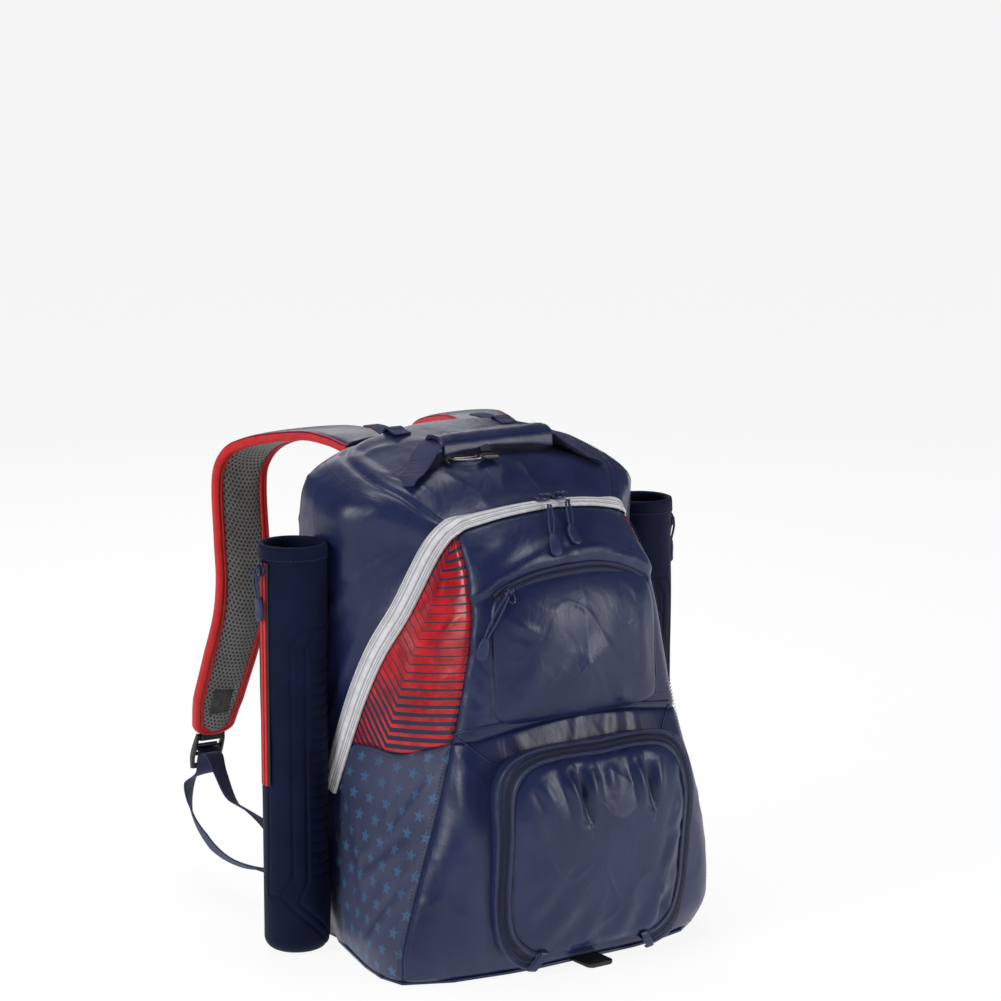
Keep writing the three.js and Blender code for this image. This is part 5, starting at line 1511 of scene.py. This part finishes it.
def sleeve(side, sign):
    middle = np.array([sign * SLEEVE["x"], SLEEVE["y"], SLEEVE["lift"]])
    radius, inner = SLEEVE["radius"], SLEEVE["radius"] - SLEEVE["wall"]
    height = SLEEVE["height"] - SLEEVE["lift"]
    bend = np.linspace(0, math.pi / 2, 9)
    outer = [(0.3, 0.0), (8, 0.0), (15, 0.0)]
    outer += [(radius - SLEEVE["corner"] * (1 - math.sin(b)), SLEEVE["corner"] * (1 - math.cos(b))) for b in bend]
    outer += [(radius, z) for z in np.linspace(14, height, 240)]
    hollow = [(inner, z) for z in np.linspace(height, 20, 14)] + [(inner - 2, 12), (inner - 8, 5), (8, 4), (0.3, 4)]
    profile = np.array(outer + hollow)
    angles = np.linspace(0, TAU, 181)[:-1]
    facing = math.radians(238.7 if sign < 0 else 301.3)
    turn = (angles - facing + math.pi) % TAU - math.pi
    around_s, up_z = np.meshgrid((turn if sign < 0 else -turn) * radius, profile[:, 1])
    outside = np.zeros(len(profile))
    outside[3:len(outer)] = 1
    around = np.stack([np.cos(angles), np.sin(angles), 0 * angles], -1)
    wander = noise(np.stack([around[None, :, 0] * 30 + 0 * up_z, around[None, :, 1] * 30 + 0 * up_z, up_z], -1),
                   (28, 28, 70), 51 + sign)
    away = profile[:, :1] + (sleeve_relief(around_s, up_z) + 0.9 * wander) * outside[:, None]
    p = middle + around[None] * away[..., None] + np.array([0, 0, 1.0]) * profile[:, 1][:, None, None]
    grid_piece(f"sleeve_{side}_knit", p, knit_cloth, f"sleeve_{side}", round_way=True,
                         caps=True)
    rim = [(radius - 0.2, height - 13), (radius + 0.9, height - 12.6), (radius + 1.1, height - 8),
           (radius + 0.9, height - 2), (radius + 0.2, height + 1.6), (radius - 2, height + 2.4),
           (inner - 0.2, height + 1.4), (inner - 0.9, height - 2), (inner - 0.9, height - 10),
           (inner - 0.1, height - 11)]
    ring_piece(f"sleeve_rim_{side}_band", middle, rim, knit_cloth, f"sleeve_rim_{side}")
    ring = middle + around * (radius + 1.2) + np.array([0, 0, height - 10.5])
    repeats(f"sleeve_rim_{side}_stitches", [(np.concatenate([ring, ring[:1]]), np.concatenate([around, around[:1]]))],
            3.4, (2.4, 0.75, 0.6), thread_navy)
    zip_angle = math.radians(181 if sign < 0 else -1)
    out = np.array([math.cos(zip_angle), math.sin(zip_angle), 0])
    across = np.array([-out[1], out[0], 0])
    line = middle + out * (radius + 0.6) + np.outer(np.linspace(165, height - 14, 120), (0, 0, 1.0))
    black = sweep(f"sleeve_zip_{side}_edges", line, across, rounded(15, 1.4, 3), black_tape)
    reds = [sweep(f"sleeve_zip_{side}_tape_{k}", line + out * 0.9 + across * shift, across, rounded(3.4, 1.8, 3),
                  red_binding) for k, shift in enumerate((-2.6, 2.6))]
    join(f"sleeve_zip_{side}_bands", [black] + reds, f"sleeve_zip_{side}")
    repeats(f"sleeve_zip_{side}_coil", [(line + out * 1.2, out)], 1.4, (0.9, 2.6, 0.9), thread_red)
    top = middle + out * (radius + 1.8) + np.array([0, 0, height - 20.0])
    slider(f"sleeve_slider_{side}_metal", top, (0, 0, 1), out, f"sleeve_slider_{side}", (14, 10, 3.0), 1.2)
    hang = [top + out * away_ + np.array([0, 0, drop])
            for away_, drop in ((8.0, -3.0), (8.0, -12.0), (5.5, -24.0), (4.2, -36.0), (4.0, -50.0))]
    pull(f"sleeve_pull_{side}_cord", smooth_line(hang, 60), out, 25, 11, f"sleeve_pull_{side}", 1.2)


for side, sign in (("left", -1), ("right", 1)):
    sleeve(side, sign)


# Shoulder straps
STRAP_LINE = [(0.436, 1.0, 0.985, 1.0), (0.47, 1.2, 0.995, 1.0), (0.512, 1.45, 0.996, 1.0),
              (0.593, 1.92, 0.972, 1.0), (0.64, 2.17, 0.945, 1.0), (0.686, 2.28, 0.905, 1.0),
              (0.709, 2.29, 0.855, 1.0), (0.738, 2.2, 0.745, 1.0), (0.773, 2.1, 0.668, 1.0),
              (0.808, 2.075, 0.592, 1.0), (0.849, 2.15, 0.5, 0.99), (0.884, 2.265, 0.4, 0.92),
              (0.89, 2.33, 0.345, 0.72)]
LOWER_WEBBING = [(0.935, 2.6, 0.2, 30), (0.955, 2.54, 0.135, 62), (0.955, 2.28, 0.085, 66),
                 (0.95, 1.9, 0.066, 40), (0.935, 1.45, 0.078, 10), (0.9, 1.0, 0.085, 0)]
TAIL = [(0.94, 2.2, 0.277, 8), (0.957, 2.08, 0.25, 20), (0.957, 1.9, 0.2, 34), (0.955, 1.66, 0.193, 34),
        (0.945, 1.4, 0.175, 20), (0.93, 1.18, 0.14, 8)]
PAD_HALF, PAD_THICK, BINDING = 24.5, 11.0, 5.0


def strap_spots(rows, sign):
    return [np.array([sign * out * HALF_WIDTH, behind * HALF_DEPTH, up * RIM_HEIGHT])
            for out, behind, up, _ in rows]


def strap_path(spots, values, sign, count, turning=False):
    """Points of a strap, its direction and width direction, and the value of each row along it."""
    spots = np.asarray(spots, float)
    line = smooth_line(spots, count)
    run = np.linspace(0, 1, count)
    nearest = [run[np.argmin(np.linalg.norm(line - spot, axis=-1))] for spot in spots]
    value = np.interp(run, nearest, values)
    along = unit(np.gradient(line, axis=0))
    flat = unit(np.array([1.0, 0, 0]) - along * along[:, :1])
    if turning:
        angle = (sign * np.radians(value))[:, None]
        flat = flat * np.cos(angle) + np.cross(along, flat) * np.sin(angle)
    return line, along, flat, value


BINDING_EDGE = [(3.5, 1.2), (3.3, 3.4), (2.5, 5.3), (0.8, 6.6), (-1.2, 6.8), (-2.2, 5.8), (-3.2, 6.8), (-5.0, 6.7),
                (-6.2, 5.9), (-5.8, 4.8), (-4.4, 4.0), (-4.4, -1.4), (-2.0, -2.7), (1.6, -2.8), (3.1, -1.2)]


def crowned(half, low, high, crown, steps=26):
    """An outline that is flat below, crowned above and pulled in at its edges."""
    w = np.linspace(1, -1, steps)
    top = high + crown * (1 - np.abs(w) ** 2.6) - 1.0 * np.exp(-(((1 - np.abs(w)) / 0.12) ** 2))
    upper = np.stack([w * half, top], -1)
    lower = np.stack([w[::-1] * half, np.full(steps, low)], -1)
    return np.concatenate([upper, lower])


def shoulder_strap(side, sign):
    line, along, wide, scale = strap_path(strap_spots(STRAP_LINE, sign), [row[3] for row in STRAP_LINE], sign, 150)
    reach = scale * PAD_HALF + 0.5 + BINDING / 2
    tip, tip_reach = line[-1], reach[-1]
    angles = np.linspace(0, math.pi, 40)[1:-1]
    over_tip = tip + np.outer(np.cos(angles), wide[-1]) * tip_reach \
        + np.outer(np.sin(angles), along[-1]) * 0.5 * tip_reach
    path = np.concatenate([line + wide * reach[:, None], over_tip, (line - wide * reach[:, None])[::-1]])
    tip_out = unit(np.outer(np.cos(angles), wide[-1]) + np.outer(np.sin(angles), along[-1]) * 1.6)
    outwards = np.concatenate([wide, tip_out, -wide[::-1]])
    sweep(f"strap_binding_{side}_tape", path, outwards, BINDING_EDGE, red_binding,
          f"strap_binding_{side}")
    thick = np.cross(along, wide)
    seams = []
    for edge in (1, -1):
        inner = line + wide * (edge * (reach - 3.9))[:, None] + thick * 6.95
        seams.append((inner[4:-2], thick[4:-2]))
    repeats(f"strap_binding_{side}_stitches", seams, 3.4, (2.4, 0.75, 0.6), thread_red)
    # the pad runs on into the rounded tip
    ends = np.sin(np.linspace(0.12, 0.96, 9) * math.pi / 2)
    whole = np.concatenate([line, tip + np.outer(ends, along[-1]) * 0.5 * (tip_reach - 3)])
    half = np.concatenate([scale * PAD_HALF + 1.0, (scale[-1] * PAD_HALF + 1.0) * np.sqrt(1 - ends**2)])
    width_way = np.concatenate([wide, np.repeat(wide[-1:], len(ends), 0)])
    run = np.concatenate([[0], np.cumsum(np.linalg.norm(np.diff(whole, axis=0), axis=-1))])
    puff = 2.6 + 0.5 * noise(np.stack([run, 0 * run, 0 * run], -1), 60, 61 + sign)
    pad = np.stack([crowned(h, -0.4, 4.4, c * min(1, h / 12)) for h, c in zip(half, puff)])
    cover_half = half + 5.0
    cover_half[-len(ends):] = (scale[-1] * PAD_HALF + 6.0) * np.sqrt(1 - ends**2)
    cover_line = np.concatenate([line, tip + np.outer(ends, along[-1]) * (0.5 * tip_reach + 2.6)])
    bow = np.stack([crowned(h, -1.9, 3.0, 1.7 * min(1, h / 14)) * (1, -1) for h in cover_half])[:, ::-1]
    sweep(f"strap_{side}_mesh", whole, width_way, pad, mesh_cloth, f"strap_{side}")
    sweep(f"strap_{side}_cover", cover_line, width_way, bow, navy_cloth)
    # a box-stitched patch near the tip, on the mesh side
    patch = slice(136, 146)
    middle = line[patch] + thick[patch] * 7.2
    sweep(f"strap_{side}_patch", middle, wide[patch], rounded(23, 1.0, 3), patch_cloth)
    top = thick[patch][5] * 0.75
    corners = [middle[k] + wide[patch][k] * reach_ for k, reach_ in ((1, 9), (8, 9), (8, -9), (1, -9))]
    box = corners + [corners[0], corners[2], corners[1], corners[3]]
    box_lines = [(evenly(np.array([a, b]) + top, 2.0), thick[patch][5]) for a, b in zip(box[:-1], box[1:])]
    repeats(f"strap_{side}_patch_stitches", box_lines, 3.0, (2.2, 0.8, 0.7), thread_black)
    return tip, along[-1], wide[-1], tip_reach


def buckle(side, sign, tip, along, wide, tip_reach):
    """A ladder buckle on a short loop at the strap's tip: two cheeks and four bars."""
    back = np.cross(wide, along)
    start = tip + along * (0.5 * tip_reach + BINDING / 2 + 0.5)

    def spot(x, y, z):
        return start + wide * x + along * y + back * z

    pieces = []
    for x in (-15.4, 15.4):
        cheek = smooth_line([spot(x * k, y, z) for k, y, z in ((0.94, 0.6, 0.4), (1, 8, 0.2), (1.02, 18, 0.9),
                                                               (1.02, 28, 1.0), (0.98, 39, -1.4))], 30)
        shares = np.linspace(0, 1, 30)
        high = 4.4 + 2.6 * np.sin(shares * math.pi)
        pieces.append(sweep("cheek", cheek, wide, np.stack([rounded(3.6, h, 4, 1.4) for h in high]), black_plastic))
    for y, z, deep, tall in ((3.2, 0.2, 4.6, 3.4), (17.2, 0.9, 5.2, 3.2),
                             (24.5, 1.8, 4.2, 2.6), (37, -0.9, 6.0, 3.2)):
        bar = np.array([spot(x, y, z) for x in np.linspace(-14.6, 14.6, 12)])
        pieces.append(sweep("bar", bar, along, rounded(deep, tall, 4, 1.2), black_plastic))
    join(f"buckle_{side}_frame", pieces, f"buckle_{side}")
    loop = smooth_line([spot(0, y, z) for y, z in ((-13, 1.5), (-4, 1.9), (2, 2.9), (6.6, 2.6), (7.4, 0.2),
                                                   (6.0, -2.6), (2, -3.0), (-4, -2.0), (-13, -1.6))], 50)
    sweep(f"buckle_{side}_loop", loop, wide, rounded(24, 1.6, 3, 0.7), black_webbing)
    return spot, back


def strap_webbing(side, sign, spot, back):
    start = [spot(0, 14.0, 4.2), spot(0, 21, -1.8), spot(0, 30.5, -2.8), spot(0, 36.6, -4.4), spot(0, 45, -3.4)]
    spots = start + strap_spots(LOWER_WEBBING, sign)
    line, along, flat, _ = strap_path(spots, [0] * len(start) + [row[3] for row in LOWER_WEBBING], sign, 170, True)
    sweep(f"lower_webbing_{side}_band", line, flat, rounded(24, 1.8, 3, 0.8), webbing_cloth,
          f"lower_webbing_{side}")
    face = 1.0 if back[1] < 0 else -1.0
    start = [spot(0, 26.0, 0.5), spot(0, 22.0, 4.4 * face), spot(0, 20.0, 6.5 * face)]
    spots = start + strap_spots(TAIL, sign)
    line, along, flat, _ = strap_path(spots, [0] * len(start) + [row[3] for row in TAIL], sign, 130, True)
    sweep(f"webbing_tail_{side}_band", line, flat, rounded(20, 1.8, 3, 0.8), webbing_cloth,
          f"webbing_tail_{side}")
    end = line[-9:]
    thick = np.cross(along[-9:], flat[-9:])
    hem = [(end + flat[-9:] * shift + thick * lift, thick * np.sign(lift)) for shift in (-7.5, 7.5)
           for lift in (1.0, -1.0)]
    repeats(f"webbing_tail_{side}_stitches", hem, 2.6, (1.9, 0.6, 0.5), thread_navy)


for side, sign in (("left", -1), ("right", 1)):
    tip, along, wide, tip_reach = shoulder_strap(side, sign)
    spot, back = buckle(side, sign, tip, along, wide, tip_reach)
    strap_webbing(side, sign, spot, back)


# The carrying handle, strap tabs and hook
GRIP = {"half": 64.0, "y": 34.0, "z": 484.5, "arch": 1.5, "width": 27.0}


def grip():
    """A flap of padded cloth folded over the handle's webbing, open below."""
    x = np.linspace(-GRIP["half"], GRIP["half"], 90)
    share = x / GRIP["half"]
    line = np.stack([x, GRIP["y"] + 0.8 * noise(np.stack([x, 0 * x, 0 * x], -1), 40, 3),
                     GRIP["z"] + 1.0 - GRIP["arch"] * share**2], -1)
    outlines = []
    for s in share:
        droop = 2.0 + 2.6 * s**2 + 1.4 * math.exp(-(((s - 0.95) / 0.2) ** 2))
        pinch = 0.8 * math.exp(-(((s + 0.1) / 0.16) ** 2))
        outer = [(-17.5, -9.0 - droop + 2 * pinch), (-17.8, -6.0 - droop * 0.5 + pinch), (-16.0, -1.6), (-11.5, 2.4),
                 (-6.0, 4.4), (-1.6, 4.9), (-0.4, 4.2), (0.8, 4.9), (6.0, 4.6), (11.0, 2.9), (14.6, -0.6),
                 (15.8, -5.2)]
        inner = [(12.4, -5.4), (11.4, -1.8), (8.6, 0.4), (0.0, 1.0), (-7.0, 0.6), (-11.6, -2.6), (-13.6, -6.4),
                 (-13.9, -9.0 - droop + 2 * pinch)]
        ring = smooth_line(np.array([(w, 0.0, t) for w, t in outer + inner]), 56, closed=True)[:, (0, 2)]
        outlines.append(ring[::-1])
    outlines = np.stack(outlines)
    bumps = 0.5 * noise(np.stack([x[:, None] + 0 * outlines[..., 0], outlines[..., 0], outlines[..., 1]], -1),
                        (18, 12, 12), 9)
    outlines = outlines + bumps[..., None] * (0.25, 1.0)
    sweep("handle_grip_cloth", line, (0, 1, 0), outlines, navy_cloth, "handle_grip")
    rows = []
    for w, t, lean in ((-0.4, 4.9, 0.0), (-15.6, 0.2, -0.8), (13.4, 1.4, 0.8)):
        out = unit(np.array([0.0, lean, 1.0]))
        rows.append((line[4:-4] + np.array([0, w, t + 0.2]), out))
    for k in (5, 11, -6):
        across_ = np.array([line[k] + np.array([0, w, t + 0.5]) for w, t in
                            ((-15.0, 0.6), (-11.5, 2.6), (-6.0, 4.6), (0, 5.1), (6.0, 4.8), (11.0, 3.1))])
        rows.append((smooth_line(across_, 30), np.array([0, 0, 1.0])))
    repeats("handle_grip_stitches", rows, 3.0, (2.2, 0.7, 0.6), thread_navy)


def ribbon(name, spots, across, width, replaced, rows_at=(), count=60):
    line = smooth_line(spots, count)
    _, wide, thick = path_frames(line, across)
    band = sweep(name, line, across, rounded(width, 1.8, 3, 0.8), webbing_cloth, replaced)
    up = np.where(thick[:, 2:] < 0, -thick, thick)
    rows = []
    for share in rows_at:
        k = int(share * (count - 1))
        rows.append((np.linspace(line[k] - wide[k] * (width / 2 - 2), line[k] + wide[k] * (width / 2 - 2), 20)
                     + up[k] * 1.0, up[k]))
    if rows:
        repeats(name + "_stitches", rows, 2.6, (2.0, 0.7, 0.6), thread_navy)
    return band


grip()
for side, sign in (("left", -1), ("right", 1)):
    inside = [(sign * (GRIP["half"] - 16), GRIP["y"], GRIP["z"] - 2.6),
              (sign * GRIP["half"], GRIP["y"], GRIP["z"] - 3.4)]
    anchor = []
    for share, lift in ((0.16, 10.0), (0.34, 6.5), (0.55, 3.6), (0.78, 2.2), (1.0, 1.6), (1.18, -2.5)):
        x, y = sign * (GRIP["half"] + 4 + share * 40), GRIP["y"] - 18 * share
        anchor.append(from_above(x, y, lift))
    ribbon(f"handle_webbing_{side}_band", [np.array(q) for q in inside] + anchor, (0, 1, 0.0), 34.0,
           f"handle_webbing_{side}", (0.5, 0.56, 0.66, 0.76, 0.86, 0.94), 80)
    x = sign * (0.436 * HALF_WIDTH - 12)
    top = 0.997 * RIM_HEIGHT + PAD_THICK / 2 + 3.4
    spots = [from_above(x, 88, 2.2), from_above(x, 97, 2.2), from_above(x, 106, 3.4), np.array([x, 115, top - 3]),
             np.array([x, 129, top]), np.array([x, 146, top])]
    ribbon(f"strap_tab_{side}_band", spots, (1, 0, 0), 18.0, f"strap_tab_{side}", (0.1, 0.2, 0.78, 0.92), 50)


def hook():
    """A fence hook that lies folded: a black plastic toggle on a loop, with a bent wire."""
    lift = 6.0
    nose, knee, heel = (from_above(-55, 12, lift), from_above(-39, 5, lift + 2), from_above(-22, 4, lift + 2))
    wires = []
    side = np.array([0.25, 0.9, 0.2])
    for shift in (-3.0, 3.0):
        wires.append(smooth_line([heel + side * shift, knee + side * shift * 0.9, nose + side * shift * 0.6], 26))
    turned = smooth_line(np.concatenate([wires[0][::3], [nose + np.array([-3.0, 0, 0.3])],
                                         wires[1][::-1][::3]]), 90)
    bright = round_line("hook_wire", turned, 0.95, hook_metal, sides=10)
    tip = smooth_line([nose + np.array([-2, 0, 0]), nose + np.array([-6, 1, 1.5]), nose + np.array([-8, 2, -1.5]),
                       nose + np.array([-5, 2, -3.5])], 24)
    bent = round_line("hook_tip", tip, 1.7, black_plastic, sides=10)
    block = np.linspace(heel + np.array([-10, -1.5, -1.0]), heel + np.array([9, 1.5, -2.5]), 12)
    shares = np.linspace(0, 1, 12)
    outlines = np.stack([rounded(7 + 7 * s, 4.5 + 4.0 * s * (1.15 - s), 4, 1.8) for s in shares])
    body_piece = sweep("hook_block", block, (0, 1, 0), outlines, black_plastic)
    ear = smooth_line([heel + np.array(q) for q in ((2, 6, 2), (4, 12, 6), (6, 20, 9), (7, 28, 8))], 30)
    strap = sweep("hook_strap", ear, (1, 0, 0.2), rounded(9, 1.4, 3, 0.6), black_webbing)
    join("fence_hook_set", [bright, bent, body_piece, strap], "fence_hook")


hook()


# Back pad, base and foot
def back_pad():
    """Three columns of padding under spacer mesh, with channels between them."""
    low, high = [np.array(corner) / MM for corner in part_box("back_pad")]
    rows, columns = 150, 110
    share_x, share_z = np.meshgrid(np.linspace(-1, 1, columns), np.linspace(0, 1, rows))
    squeeze = (1 - 0.10 * np.clip((share_z - 0.8) / 0.2, 0, 1) ** 2
               - 0.05 * np.clip((0.08 - share_z) / 0.08, 0, 1) ** 2)
    x = share_x * (high[0] - low[0]) / 2 * squeeze
    z = low[2] + share_z * (high[2] - low[2])
    edge = np.minimum((1 - np.abs(share_x)) * 130, np.minimum(share_z, 1 - share_z) * 420)
    puff = 1 - np.exp(-((edge / 9) ** 2))
    for middle in (-36, 36):
        puff = puff * (1 - 0.85 * np.exp(-(((x - middle) / 5.5) ** 2)) * (z < high[2] - 60) * (z > low[2] + 40))
    for height in (low[2] + 130, low[2] + 270):
        puff = puff * (1 - 0.8 * np.exp(-(((z - height - 10 * np.cos(x / 60)) / 5.0) ** 2)) * (np.abs(x) > 36))
    y = low[1] + 1.0 + (high[1] - low[1] - 1.0) * puff + 0.6 * noise(np.stack([x, 0 * x, z], -1), 45, 71)
    p = np.stack([x, y, z], -1)[:, ::-1]
    pad = grid_piece("back_pad_mesh", p, dark_mesh, "back_pad")
    thicken(pad, 1.4)


back_pad()


def bevelled_copy(node, name, width, finish):
    """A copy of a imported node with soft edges."""
    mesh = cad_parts[node].data.copy()
    mesh.name = name
    work = bmesh.new()
    work.from_mesh(mesh)
    bmesh.ops.remove_doubles(work, verts=work.verts, dist=0.02 * MM)
    bmesh.ops.dissolve_limit(work, angle_limit=math.radians(2), verts=work.verts, edges=work.edges)
    work.to_mesh(mesh)
    work.free()
    mesh.materials.clear()
    mesh.materials.append(finish)
    piece = bpy.data.objects.new(name, mesh)
    bpy.context.scene.collection.objects.link(piece)
    soften(piece, width, 3)
    return place(piece, node)


foot_line = np.array([(0, y, 2.1) for y in np.linspace(-153, -127, 14)])
foot_share = np.linspace(0, 1, 14)
foot_wide = 30.0 * np.sqrt(np.clip(1 - (1 - np.minimum(1, foot_share * 3.2 + 0.35)) ** 2, 0.05, 1))
sweep("front_foot_moulding", foot_line, (1, 0, 0), np.stack([rounded(w, 4.0, 4, 1.4) for w in foot_wide]), rubber,
      "front_foot")
bevelled_copy("base_panel", "base_panel_board", 0.9, navy_cloth)
